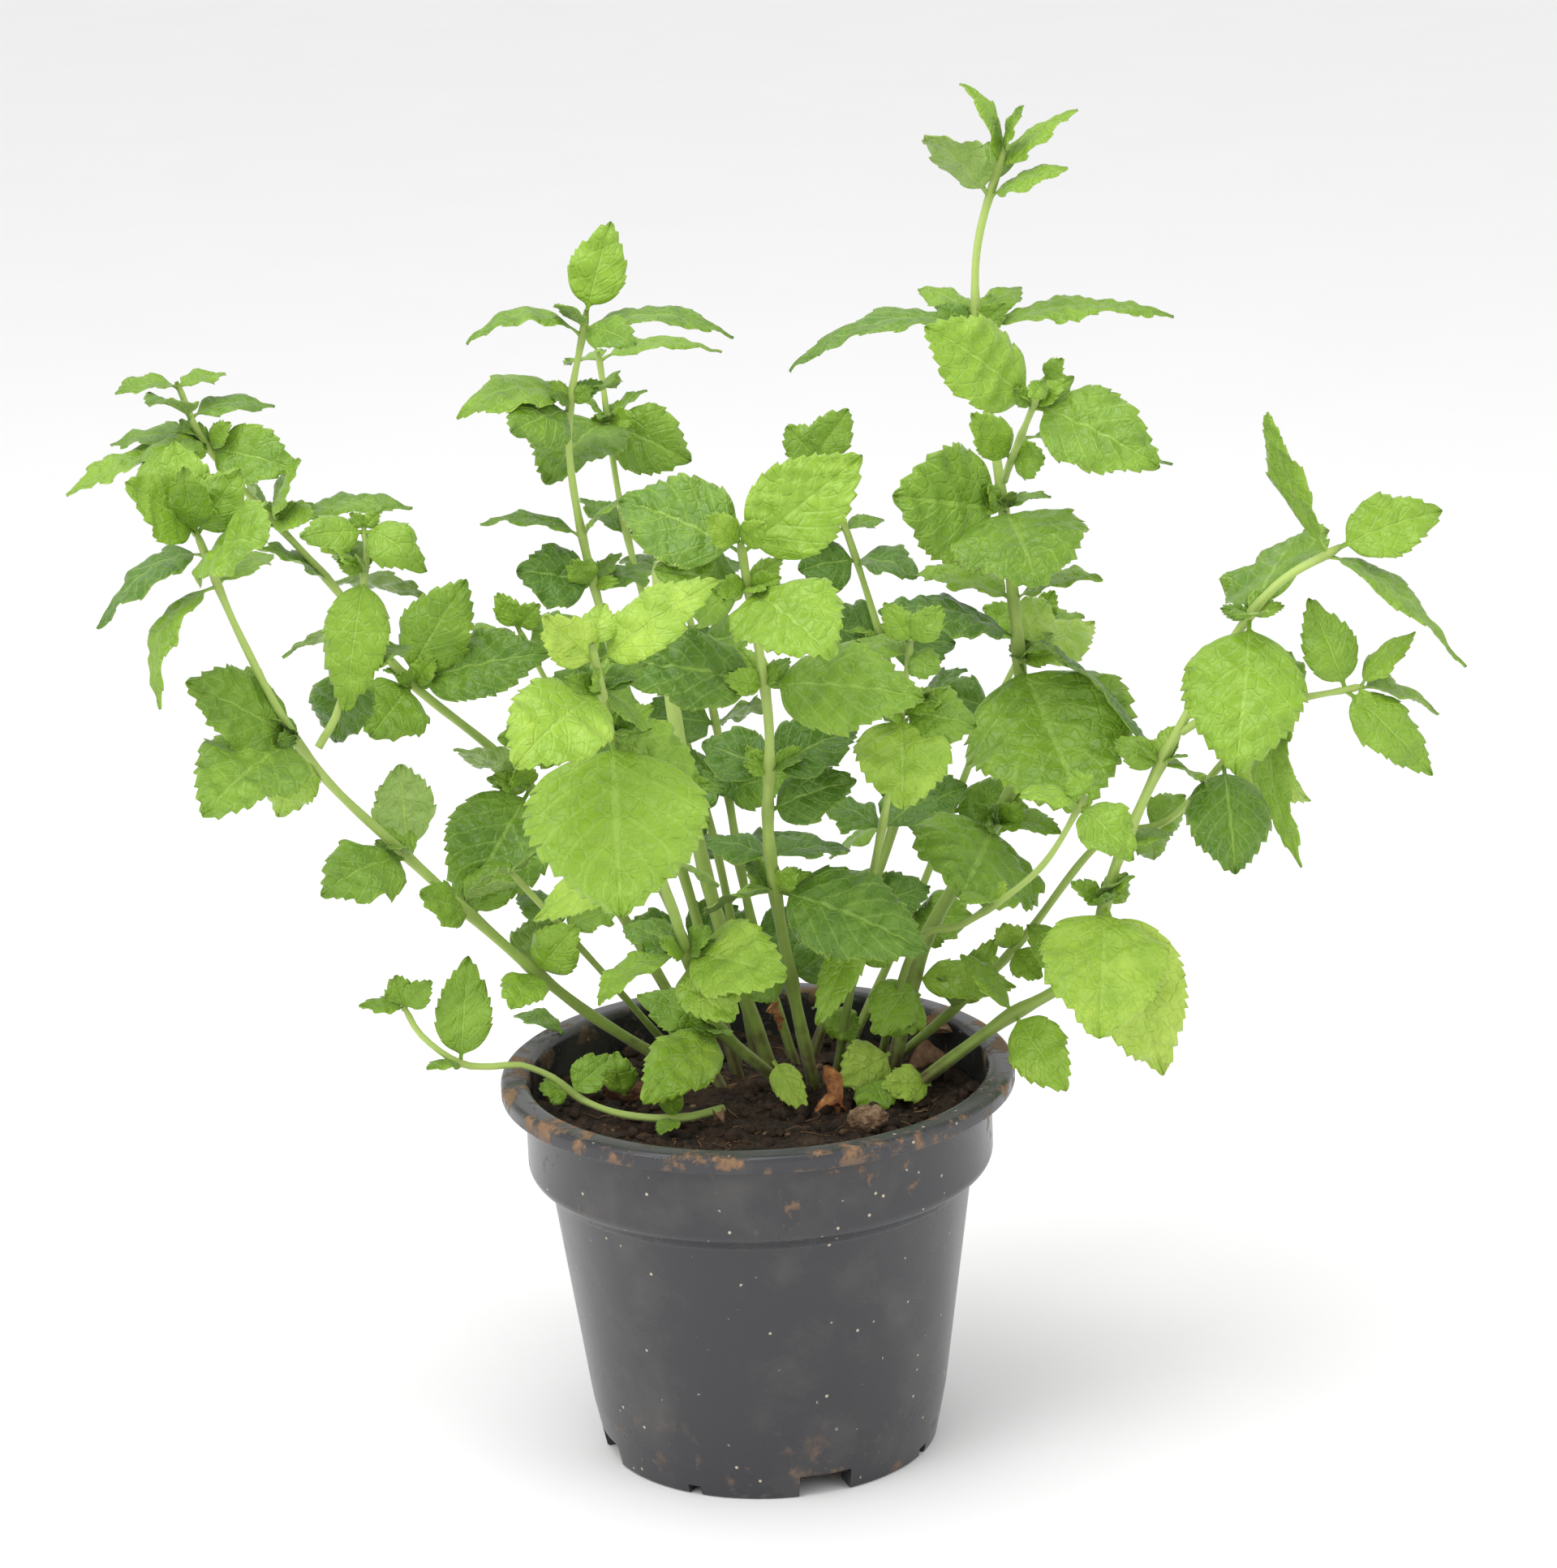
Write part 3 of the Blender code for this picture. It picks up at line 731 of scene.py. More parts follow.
def pair(node: str, at: float, *leaves: Leaf) -> Whorl:
    """A whorl that stands for a CAD leaf pair."""
    return Whorl(at, leaves, f"leaves_{node}")


def extra(at: float, *leaves: Leaf) -> Whorl:
    """A whorl of small or hidden leaves that has no CAD node."""
    return Whorl(at, leaves)


@dataclass(frozen=True)
class Stem:
    """A leafy stem.

    Attributes:
        name: its name, shared with its CAD node.
        route: points that its centre line passes, from the soil or parent stem to its tip.
        radii: radius at its foot and at its tip.
        whorls: its leaves.
        in_cad: whether a CAD stem stands for it.
        foot_tone: 0 for a brown foot, 1 for one that is green from the start.
        slimness: its skin's thickness as a share of the radii.
    """

    name: str
    route: tuple[Point, ...]
    radii: tuple[float, float]
    whorls: tuple[Whorl, ...] = ()
    in_cad: bool = True
    foot_tone: float = 0.0
    slimness: float = 0.78

    def centre_line(self) -> np.ndarray:
        """Points every few millimetres on a smooth curve through the route.

        Returns:
            Points, one to a row.
        """
        points = np.array(self.route, float)
        ends = np.vstack([2 * points[0] - points[1], points, 2 * points[-1] - points[-2]])
        line = []
        for before, start, end, after in zip(ends, ends[1:], ends[2:], ends[3:]):
            steps = max(2, round(float(np.linalg.norm(end - start)) / STEM_STEP))
            for t in np.arange(steps) / steps:
                pull = 2 * before - 5 * start + 4 * end - after
                twist = 3 * start - before - 3 * end + after
                line.append((2 * start + (end - before) * t + pull * t * t + twist * t ** 3) / 2)
        return np.vstack([*line, points[-1]])

    def place(self, share: float) -> np.ndarray:
        """The point at a share of the centre line's length.

        Args:
            share: from 0 at the foot to 1 at the tip.

        Returns:
            The point.
        """
        line = self.centre_line()
        run = np.r_[0.0, np.cumsum(np.linalg.norm(np.diff(line, axis=0), axis=1))]
        return np.array([np.interp(share * run[-1], run, line[:, k]) for k in range(3)])

    def end_caps(self, rings: int) -> np.ndarray:
        """Quads that close the tube's first and last ring.

        Args:
            rings: how many rings of points the tube has.

        Returns:
            Point numbers, four to a quad.
        """
        caps = []
        for first, flip in ((0, False), ((rings - 1) * STEM_SIDES, True)):
            for k in range(1, STEM_SIDES // 2):
                right = first + STEM_SIDES - 1 - k
                quad = [first + k - 1, first + k, right, first + (STEM_SIDES - k) % STEM_SIDES]
                caps.append(quad if flip else quad[::-1])
        return np.array(caps)

    def tube(self) -> Shape:
        """The stem's skin: a four-ridged tube, a little swollen where leaves leave it.

        Returns:
            The points, faces and (height, ridge, joint) values.
        """
        line = self.centre_line()
        count = len(line)
        share = np.linspace(0.0, 1.0, count)
        way = unit(np.gradient(line, axis=0))
        side = unit(np.cross(way, np.array([0.35, 1.0, 0.1])))
        other = np.cross(way, side)
        near = np.zeros(count)
        for whorl in self.whorls:
            near = np.maximum(near, np.exp(-((share - whorl.at) * count * 0.75) ** 2))
        angle = np.linspace(0.0, 2.0 * np.pi, STEM_SIDES, endpoint=False)
        ridge = np.cos(2.0 * angle) ** 2
        radius = (self.radii[0] + (self.radii[1] - self.radii[0]) * share) * self.slimness
        wobble = 1.0 + 0.05 * np.sin(share * count * 0.9) + 0.28 * near
        wide = (radius * wobble)[:, None] * (0.90 + 0.13 * ridge)[None, :]
        wide[-1] *= 0.55
        points = (line[:, None, :] + side[:, None, :] * (wide * np.cos(angle))[..., None]
                  + other[:, None, :] * (wide * np.sin(angle))[..., None])
        values = np.ones((count, STEM_SIDES, 4))
        values[..., 0] = np.clip(share[:, None] + self.foot_tone, 0.0, 1.0)
        values[..., 1] = ridge[None, :]
        values[..., 2] = near[:, None]
        quads = grid_faces(count, STEM_SIDES, closed=True)[:, ::-1]
        caps = self.end_caps(count)
        shape = Shape()
        shape.add(points.reshape(-1, 3), np.concatenate([quads, caps]), values.reshape(-1, 4))
        return shape


# A stem starts under the soil; a branch starts inside its parent.
UNDER = SOIL_TOP - 8.0
# The tone numbers in this table paint light and shade. Leaves at the back and inside the clump, and leaves
# whose underside faces the front, get low tones as painted shade. Front leaves get high tones as a painted
# highlight, and young tips are paler as well.
STEMS: tuple[Stem, ...] = (
    Stem("far_left", ((-10, 28, UNDER), (-18, 25, 89), (-48, 12, 116), (-87, -9, 164), (-106, -21, 191),
                      (-119, -34, 225), (-127, -45, 255)), (2.2, 1.1), (
        extra(0.29, leaf(1, 14, 11, 14, BACK, 0.15, 1), leaf(-6, -16, -4, 12, FRONT_UP, 0.15, 1),
              leaf(11, -8, 15, 13, FRONT, 0.15, 1)),
        extra(0.40, leaf(9, 10, 12, 12, FRONT_UP, 0.15), leaf(-12, -12, 10, 12, FRONT_UP, 0.15)),
        pair("far_left_1", 0.51, leaf(-2, 16, 20, 16, BACK, 0.15, -1),
             leaf(-20, -22, -2, 19, FRONT_UP, 0.3)),
        pair("far_left_2", 0.71, leaf(-24, -18, 21, 21), leaf(-20, -34, -8, 26, FRONT_UP, 0.25)),
        extra(0.70, leaf(-8, 10, -20, 14, FRONT, 0.1, 2), leaf(-20, 18, -16, 12, BACK_UP, 0.2, 1)),
        extra(0.93, leaf(-15, -12, -26, 13, LEFT_UP, 0.42), leaf(12, 16, 3, 11, UP, 0.2)),
        pair("far_left_3", 0.97, leaf(18, -30, 10, 24, FRONT_UP, 0.15),
             leaf(-26, -4, -15, 16, UP, 0.3, -2)),
        extra(1.0, leaf(-14, -16, 17, 16, FRONT_UP, 0.1, 1), leaf(11, 2, 15, 13, FRONT),
              leaf(-5, 8, 21, 15, FRONT, 0.15, 1), leaf(-1, -10, 19, 10, FRONT, 0.2)))),
    Stem("upper_left", ((-7, 21, UNDER), (-11, 22, 89), (-33, 26, 132), (-58, 27, 171), (-85, 28, 197),
                        (-104, 29, 224), (-130, 30, 256), (-138, 30, 275)), (2.2, 0.9), (
        extra(0.30, leaf(-12, 6, 12, 12), leaf(14, -8, 8, 13, tone=-1)),
        pair("upper_left_1", 0.42, leaf(-18, -14, 15, 14, BACK_UP, 0.15, -1),
             leaf(-18, -24, -24, 27, FRONT, 0.14, -1)),
        pair("upper_left_2", 0.59, leaf(-10, -20, -8, 19, FRONT), leaf(36, -6, 9, 19, tone=-1)),
        extra(0.60, leaf(17, -4, 26, 18, FRONT), leaf(-30, -6, 9, 15, BACK_UP, 0.4, -1)),
        extra(0.73, leaf(-18, -6, 12, 12, UP, tone=-1), leaf(23, 14, -8, 13, BACK_UP, 0.1, -2)),
        pair("upper_left_3", 0.81, leaf(34, -6, 5, 13, UP, 0.2, -1),
             leaf(-10, 20, 5, 12, BACK, 0.15, -1)),
        extra(0.82, leaf(9, -12, 18, 13, LEFT_UP), leaf(12, -14, 4, 9)),
        pair("upper_left_4", 0.92, leaf(-35, -10, -7, 17, UP), leaf(22, -8, -4, 16)),
        extra(0.93, leaf(-24, 6, -1, 12, UP, 0.15, -1), leaf(-15, -20, -6, 13, UP, 0.3)),
        extra(0.96, leaf(-8, -18, 7, 12, UP, 0.2, -1), leaf(20, 8, 0, 12, UP, 0.2, -1)),
        extra(1.0, leaf(-15, -6, 0, 9, UP, 0.15), leaf(11, 8, 1, 9, UP, 0.1)))),
    Stem("left_branch", ((-104, -18, 193), (-98, -15, 204), (-91, -6, 234), (-91, -2, 244)), (1.3, 0.9), (
        extra(0.36, leaf(-5, 10, -21, 16, FRONT, 0.1, -2), leaf(15, 12, 2, 14, UP, 0.2, -1)),
        pair("left_branch_1", 0.80, leaf(-6, -12, -32, 16, FRONT, 0.1, 1),
             leaf(-8, 8, 2, 11, BACK_UP, 0.2, 1)),
        extra(0.98, leaf(-15, -8, 1, 11, FRONT_UP, 0.1), leaf(15, -6, -9, 13, FRONT_UP, 0.45)),
        extra(1.0, leaf(-3, 0, 4, 4, FRONT), leaf(4, 0, 4, 4, FRONT))), foot_tone=0.5),
    Stem("low_left", ((-12, 40, UNDER), (-20, 36, 89), (-40, 15, 123), (-60, -5, 156)), (1.5, 1.0), (
        extra(0.73, leaf(-12, 14, 7, 11, UP, 0.15, -1), leaf(14, 8, 3, 12, UP, 0.1)),
        extra(0.95, leaf(-17, 10, -14, 10, BACK_UP, 0.1, 1)),
        extra(1.0, leaf(-10, -8, -3, 9, BACK_UP, 0.2, -1), leaf(13, 10, 5, 10, BACK_UP, 0.1, -1)))),
    Stem("front_left", ((7, 23, UNDER), (4, 20, 89), (-11, 3, 112), (-20, -24, 153), (-29, -52, 194),
                        (-34, -78, 233)), (2.3, 1.1), (
        extra(0.70, leaf(-18, -6, 8, 14, tone=1), leaf(19, -4, 4, 15)),
        pair("front_left_1", 0.19, leaf(-20, -26, -9, 17, FRONT_UP, 0.18, 2),
             leaf(-21, 4, 9, 13, FRONT_UP, 0.15)),
        pair("front_left_2", 0.37, leaf(25, -22, 0, 21, FRONT_UP, 0.1, 2),
             leaf(-22, -12, -9, 12, LEFT_UP, 0.3, 1)),
        extra(0.36, leaf(11, -16, -12, 16, FRONT, 0.2, 2), leaf(-16, 10, 6, 13, UP, tone=-1)),
        extra(0.57, leaf(-30, 4, -16, 14, FRONT_UP, 0.25, 2), leaf(15, 16, -13, 13, UP, 0.1)),
        pair("front_left_3", 0.83, leaf(1, -24, -38, 42, FRONT, 0.08, 1),
             leaf(21, 14, -27, 21, FRONT_UP, 0.2, 1)),
        pair("front_left_4", 0.91, leaf(-20, -28, -9, 24, FRONT_UP, 0.15, 2),
             leaf(11, 20, -14, 14, FRONT_UP, 0.15)),
        pair("front_left_5", 0.96, leaf(-11, -10, 15, 12, FRONT, 0.1, 3),
             leaf(29, -6, 21, 15, FRONT_UP, 0.1, 2)),
        extra(1.0, leaf(3, 8, 8, 9, FRONT, 0.1, 2), leaf(-12, 2, 3, 9, FRONT_UP, 0.15, 2)))),
    Stem("tall_left", ((-3, 30, UNDER), (-6, 29, 89), (-16, 26, 138), (-33, 24, 204), (-41, 23, 255),
                       (-35, 22, 291)), (2.1, 1.0), (
        extra(0.40, leaf(-18, 6, 6, 14, tone=-1), leaf(17, -4, 3, 14, tone=-2)),
        extra(0.54, leaf(-22, 8, -3, 15, tone=-1), leaf(15, 8, 8, 14, FRONT_UP, 0.1, -2)),
        pair("tall_left_1", 0.67, leaf(-19, -6, 6, 17, tone=-2), leaf(16, 14, 0, 13, UP, 0.1, -1)),
        extra(0.73, leaf(-25, -4, 5, 10, UP, 0.2, -1), leaf(12, -6, 10, 10, UP, 0.2)),
        pair("tall_left_2", 0.89, leaf(-28, -4, -2, 19, UP, 0.35), leaf(11, 16, 0, 17, BACK_UP, 0.1)),
        extra(0.88, leaf(-14, -18, -1, 17, tone=-1)),
        pair("tall_left_3", 0.97, leaf(-28, -8, 1, 12, UP, 0.4, -1), leaf(37, 4, -2, 13, UP, 0.25, -1)),
        extra(0.98, leaf(-6, -10, 8, 8, UP, 0.1), leaf(13, -14, -2, 10, FRONT_UP, 0.15)),
        extra(1.0, leaf(7, 4, 22, 14, FRONT, 0.06, 1)))),
    Stem("thin_left", ((1, 36, UNDER), (-1, 37, 89), (-9, 41, 146), (-28, 54, 223), (-34, 62, 272)),
         (1.7, 0.9), (
        extra(0.42, leaf(-20, 6, -2, 15, tone=-2), leaf(18, 8, 2, 15, tone=-3)),
        extra(0.60, leaf(-21, -4, 6, 15, tone=-1), leaf(22, 4, -4, 16, tone=-2)),
        extra(0.76, leaf(-12, 8, 8, 10, UP, tone=-1), leaf(16, 4, 4, 11, UP, tone=-1)),
        pair("thin_left_1", 0.91, leaf(-15, -34, -8, 23, FRONT_UP, 0.22, -1),
             leaf(21, -6, -10, 18, FRONT, 0.2)),
        extra(0.99, leaf(31, 6, 0, 11, UP, 0.2), leaf(-8, 14, -4, 11, UP, 0.1)))),
    Stem("cut_stem", ((5, 30, UNDER), (3, 29, 89), (-11, 24, 141), (-19, 18, 200), (-20, 16, 228)),
         (2.6, 2.3)),
    Stem("front_centre", ((15, 18, UNDER), (14, 16, 89), (9, 3, 123), (5, -13, 163), (6, -29, 200),
                          (1, -50, 249)), (2.4, 1.2), (
        extra(0.24, leaf(-16, -8, 4, 13), leaf(15, 6, 8, 13, tone=-1)),
        pair("front_centre_1", 0.40, leaf(37, -18, -11, 24, FRONT_UP, 0.16, -1),
             leaf(-18, 22, -13, 13, UP, 0.1)),
        extra(0.46, leaf(-16, 6, 3, 13, UP, tone=-3), leaf(20, 14, -3, 14, UP, tone=-3)),
        extra(0.54, leaf(22, -6, 9, 15, FRONT_UP, 0.15, -1)),
        pair("front_centre_2", 0.61, leaf(-16, 10, 5, 15, FRONT_UP, 0.1, -2),
             leaf(22, 8, 8, 17, FRONT_UP, 0.2, -2)),
        pair("front_centre_3", 0.76, leaf(-38, -6, 9, 21, FRONT_UP, 0.14, -1), leaf(38, -14, 0, 23)),
        pair("front_centre_4", 0.92, leaf(19, -34, -8, 26, FRONT_UP, 0.14, 1),
             leaf(-22, -6, 7, 22, FRONT_UP, 0.14)),
        pair("front_centre_5", 0.98, leaf(29, 6, 21, 22, FRONT, 0.06, 2),
             leaf(-29, 14, 11, 23, FRONT_UP, 0.15, -1)),
        extra(1.0, leaf(-8, -8, 9, 8, FRONT, 0.1, 2), leaf(6, -9, 7, 7, FRONT, 0.1, 2)))),
    Stem("mid_back", ((11, 37, UNDER), (9, 38, 88), (-1, 42, 128), (-8, 47, 179), (-16, 50, 216)),
         (1.9, 1.0), (
        extra(0.28, leaf(-14, 10, 6, 13, tone=-2), leaf(15, 6, 6, 13, tone=-2)),
        extra(0.58, leaf(18, -12, 8, 16, tone=-1), leaf(-18, -8, 8, 16, tone=-1)),
        extra(0.86, leaf(16, -12, 6, 16, tone=-1), leaf(-16, -8, 4, 15, tone=-2)),
        extra(0.45, leaf(-16, 12, 2, 14, UP, tone=-2), leaf(18, 8, 4, 14, UP, tone=-2)),
        extra(0.71, leaf(-20, -10, 5, 14, tone=-2), leaf(14, 8, 1, 15, BACK_UP, tone=-2)),
        extra(0.99, leaf(-15, 10, 3, 14, UP, 0.15, -1),
              leaf(16, 10, 1, 15, UP, 0.15, -2))), in_cad=False),
    Stem("tall_right", ((31, 16, UNDER), (34, 17, 89), (44, 20, 125), (64, 22, 158), (70, 23, 179),
                        (67, 27, 232), (61, 30, 292), (69, 32, 326)), (2.6, 1.1), (
        extra(0.14, leaf(26, -6, -1, 11, FRONT_UP, 0.15, 2), leaf(-11, -16, -9, 13, FRONT, 0.15, 1)),
        pair("tall_right_1", 0.32, leaf(-11, -34, -9, 36, FRONT), leaf(16, -10, 0, 11, UP, 0.15, 1)),
        pair("tall_right_2", 0.49, leaf(13, -42, -28, 42, FRONT), leaf(21, 30, 1, 16, FRONT_UP, 0.1, 2)),
        extra(0.51, leaf(-35, -8, 11, 21, UP, 0.2, -3), leaf(9, 18, 5, 13, FRONT, 0.1, 2)),
        extra(0.55, leaf(22, -8, 7, 14, UP, 0.2, 1), leaf(-24, 8, 6, 15, UP, 0.15, 1)),
        pair("tall_right_3", 0.64, leaf(-28, -14, 8, 29, FRONT, 0.1),
             leaf(6, -42, -9, 33, FRONT_UP, 0.15)),
        pair("tall_right_4", 0.82, leaf(-47, -6, -6, 14, UP, 0.25, -1), leaf(49, 4, 1, 14, UP, 0.15)),
        extra(0.83, leaf(-14, 12, 6, 10, UP, 0.15), leaf(12, 14, 5, 10, UP, 0.15)),
        pair("tall_right_5", 0.95, leaf(-16, -8, 17, 15, BACK_UP, 0.15, -1), leaf(19, -8, 8, 14, UP)),
        extra(0.96, leaf(0, 16, 9, 12, UP, 0.1)),
        pair("tall_right_6", 0.975, leaf(-8, 2, 22, 8, RIGHT_UP, 0.3),
             leaf(20, 4, 14, 10, LEFT_UP, 0.15, 1)),
        extra(1.0, leaf(5, -6, 12, 7, LEFT_UP, 0.1)))),
    Stem("right_side_shoot", ((67, 26, 243), (68, 15, 250), (73, -17, 273), (75, -22, 279)), (1.2, 0.9), (
        extra(0.25, leaf(-10, -8, 14, 10, FRONT, 0.15, 1), leaf(8, -8, 2, 10, FRONT, 0.1)),
        extra(0.49, leaf(38, 16, -12, 11, UP, tone=-2)),
        pair("right_side_shoot_1", 0.80, leaf(-26, -10, 23, 21, FRONT_UP, 0.14, 1),
             leaf(29, -14, -13, 22, FRONT_UP, 0.15)),
        extra(1.0, leaf(4, -4, 6, 5, FRONT, 0.1), leaf(-4, -8, -3, 5, FRONT, 0.1))), foot_tone=0.5),
    Stem("far_right", ((28, 10, UNDER), (38, 7, 89), (62, 1, 109), (82, -3, 124), (92, -8, 155),
                       (107, -15, 190), (127, -21, 223), (145, -25, 236)), (2.2, 1.2), (
        extra(0.24, leaf(12, -20, -14, 15, FRONT, 0.15, 2), leaf(-13, 4, 15, 9, UP, 0.15, 1)),
        extra(0.34, leaf(10, 12, 8, 10, tone=1), leaf(-12, 8, 10, 11)),
        pair("far_right_1", 0.44, leaf(-4, -28, -26, 31, FRONT, tone=2),
             leaf(14, 0, -46, 25, FRONT, 0.2, 3)),
        extra(0.52, leaf(13, 10, 0, 9, UP, 0.2)),
        pair("far_right_2", 0.64, leaf(-29, 30, 26, 17, BACK_UP, 0.14, -3), leaf(12, 8, -9, 13, UP, 0.2)),
        pair("far_right_3", 0.86, leaf(-6, -24, -33, 29, FRONT, tone=1),
             leaf(18, 34, 13, 30, BACK_UP, 0.1, -1)),
        pair("far_right_4", 0.98, leaf(-15, -4, 37, 12, LEFT_UP, 0.14), leaf(32, -8, -27, 13, UP, 0.22)),
        extra(1.0, leaf(26, 6, 7, 16, tone=1)))),
    Stem("right_low", ((28, 29, UNDER), (34, 27, 89), (54, 20, 109), (69, 14, 127), (88, 8, 153),
                       (105, 3, 160), (121, -2, 179)), (1.6, 1.0), (
        extra(0.25, leaf(-4, -6, 11, 8, UP, 0.1, 2), leaf(11, 4, 17, 10, FRONT, 0.1, 2)),
        extra(0.42, leaf(-3, -6, 9, 8, FRONT, 0.1, 2), leaf(6, -10, -5, 9, FRONT, 0.1, 2)),
        extra(0.78, leaf(10, 10, 5, 10, FRONT, 0.1), leaf(2, 8, -11, 9, FRONT, 0.1)),
        pair("right_low_1", 0.97, leaf(1, -20, -23, 21, FRONT, 0.14, -1),
             leaf(23, 12, -14, 12, FRONT_UP, 0.2, 2)))),
    Stem("right_inner", ((29, 32, UNDER), (31, 29, 88), (41, 5, 129), (53, -4, 137), (71, -21, 156),
                         (82, -38, 180)), (1.4, 0.9), (
        extra(0.63, leaf(3, 0, 6, 5, UP, 0.3, 2), leaf(-9, -6, 3, 8, UP, 0.2, 1)),
        extra(0.97, leaf(12, -8, -12, 14), leaf(-15, -4, 4, 10, UP, 0.2, 1)),
        extra(1.0, leaf(-3, 4, 5, 8, FRONT, 0.1))), in_cad=False),
    Stem("right_branch", ((107, -15, 188), (112, -18, 192), (118, -19, 194), (145, -22, 199),
                          (150, -22, 200)), (1.3, 0.9), (
        pair("right_branch_1", 0.62, leaf(2, -8, -40, 13, LEFT_UP, 0.35), leaf(-3, 16, 9, 12, UP)),
        pair("right_branch_2", 0.92, leaf(-8, 8, 21, 13, FRONT, 0.25), leaf(20, -8, -20, 14)),
        extra(1.0, leaf(14, 4, 12, 10, LEFT_UP, tone=1), leaf(20, 6, -9, 11, UP, 0.15),
              leaf(3, -4, -9, 5, FRONT, 0.1, 1))),
         foot_tone=0.5),
    Stem("back_centre", ((14, 41, UNDER), (15, 42, 89), (27, 46, 119), (39, 49, 153), (40, 51, 176),
                         (29, 55, 220), (20, 58, 244)), (1.9, 0.9), (
        extra(0.42, leaf(19, -6, 11, 16, tone=-2), leaf(-17, 10, -12, 13, UP)),
        extra(0.57, leaf(17, -6, 16, 16, UP, tone=-3), leaf(-21, -4, 11, 16, UP, tone=-3)),
        extra(0.28, leaf(17, 4, 4, 14, tone=-2), leaf(-15, 6, 6, 14, tone=-2)),
        pair("back_centre_1", 0.70, leaf(19, 4, -2, 18, tone=-3), leaf(-18, 6, 4, 18, tone=-3)),
        extra(0.83, leaf(15, -8, -3, 16, UP, 0.2, -3), leaf(-15, -4, -1, 15, tone=-2)),
        extra(0.88, leaf(10, 4, 1, 8, UP, 0.1, -1), leaf(-15, -4, 0, 8, UP, 0.1, -1)),
        extra(1.0, leaf(9, 2, 12, 11, FRONT, 0.1), leaf(-7, 2, 8, 10, FRONT, 0.1)))),
    Stem("behind_left", ((-4, 40, UNDER), (-6, 41, 88), (-24, 50, 132), (-44, 55, 172), (-58, 57, 202)),
         (1.6, 0.9), (
        extra(0.30, leaf(-16, -6, 6, 14, tone=-1), leaf(14, 4, 8, 13, tone=-2)),
        extra(0.52, leaf(-20, -8, 2, 16, tone=-1), leaf(20, -6, 6, 16, tone=-2)),
        extra(0.74, leaf(-21, -6, 4, 16), leaf(21, 2, 2, 16, tone=-1)),
        extra(0.96, leaf(-15, -4, 6, 12, UP), leaf(15, 2, 5, 12)),
        extra(1.0, leaf(-5, 2, 9, 7, FRONT, tone=1), leaf(6, -3, 7, 7, FRONT, tone=1))), in_cad=False),
    Stem("behind_right", ((22, 42, UNDER), (24, 43, 88), (44, 52, 128), (60, 56, 166), (76, 58, 198)),
         (1.6, 0.9), (
        extra(0.34, leaf(17, -6, 3, 15), leaf(-15, 4, 6, 14, tone=-2)),
        extra(0.58, leaf(20, -6, 2, 16), leaf(-19, -4, 8, 16, tone=-2)),
        extra(0.80, leaf(20, -4, 0, 15), leaf(-18, 2, 6, 14, tone=-1)),
        extra(0.97, leaf(14, -4, 5, 11, UP), leaf(-12, 2, 7, 10)),
        extra(1.0, leaf(5, -2, 9, 7, FRONT, tone=1))), in_cad=False),
    Stem("inner_right", ((18, 25, UNDER), (20, 21, 89), (27, 7, 131), (36, -14, 180), (41, -30, 218)),
         (1.6, 0.9), (
        extra(0.41, leaf(-13, -20, -22, 10, FRONT, 0.1, 1)),
        extra(0.60, leaf(14, 8, 6, 15, UP, 0.1, -2), leaf(-14, 8, 6, 14, UP, 0.1, -2)),
        extra(0.30, leaf(14, 6, 9, 12), leaf(-13, 6, 6, 12, tone=-1)),
        pair("inner_right_1", 0.85, leaf(-1, -22, -18, 23, FRONT, 0.1, 2),
             leaf(18, -4, -3, 18, FRONT_UP, 0.15)),
        extra(0.97, leaf(-12, 8, 2, 10, UP, 0.1), leaf(7, -4, -4, 9, FRONT_UP, 0.1)),
        extra(1.0, leaf(-6, 4, 9, 8, FRONT, 0.1, 1), leaf(8, 2, 8, 8, FRONT, 0.1)))),
    Stem("runner", ((-9, -5, SOIL_TOP + 2.1), (-20, -11, SOIL_TOP + 2.1), (-34, -7, SOIL_TOP + 2.1),
                    (-45, 2, SOIL_TOP + 3.3), (-52, 2, POT_HEIGHT - 2), (-60, 0, POT_HEIGHT + 2.4),
                    (-67, -2, POT_HEIGHT + 3), (-75, -4, POT_HEIGHT + 5), (-84, -5, POT_HEIGHT + 13),
                    (-88, -5, POT_HEIGHT + 21)), (1.4, 1.0), (
        extra(0.14, leaf(-2, -2, 11, 6, FRONT, 0.1), leaf(-4, -8, -1, 6, UP)),
        extra(0.46, leaf(11, 4, 8, 10, FRONT_UP, 0.1), leaf(-8, -4, 3, 8, FRONT_UP, 0.1)),
        pair("runner_1", 0.78, leaf(3, 7, 26, 14, FRONT, 0.1), leaf(-8, -8, 2, 7, UP, 0.1)),
        extra(1.0, leaf(-11, -4, 2, 8, UP, 0.15), leaf(-2, 2, 8, 8, FRONT, 0.1),
              leaf(7, 0, 7, 7, FRONT, 0.1))),
         foot_tone=0.3),
)


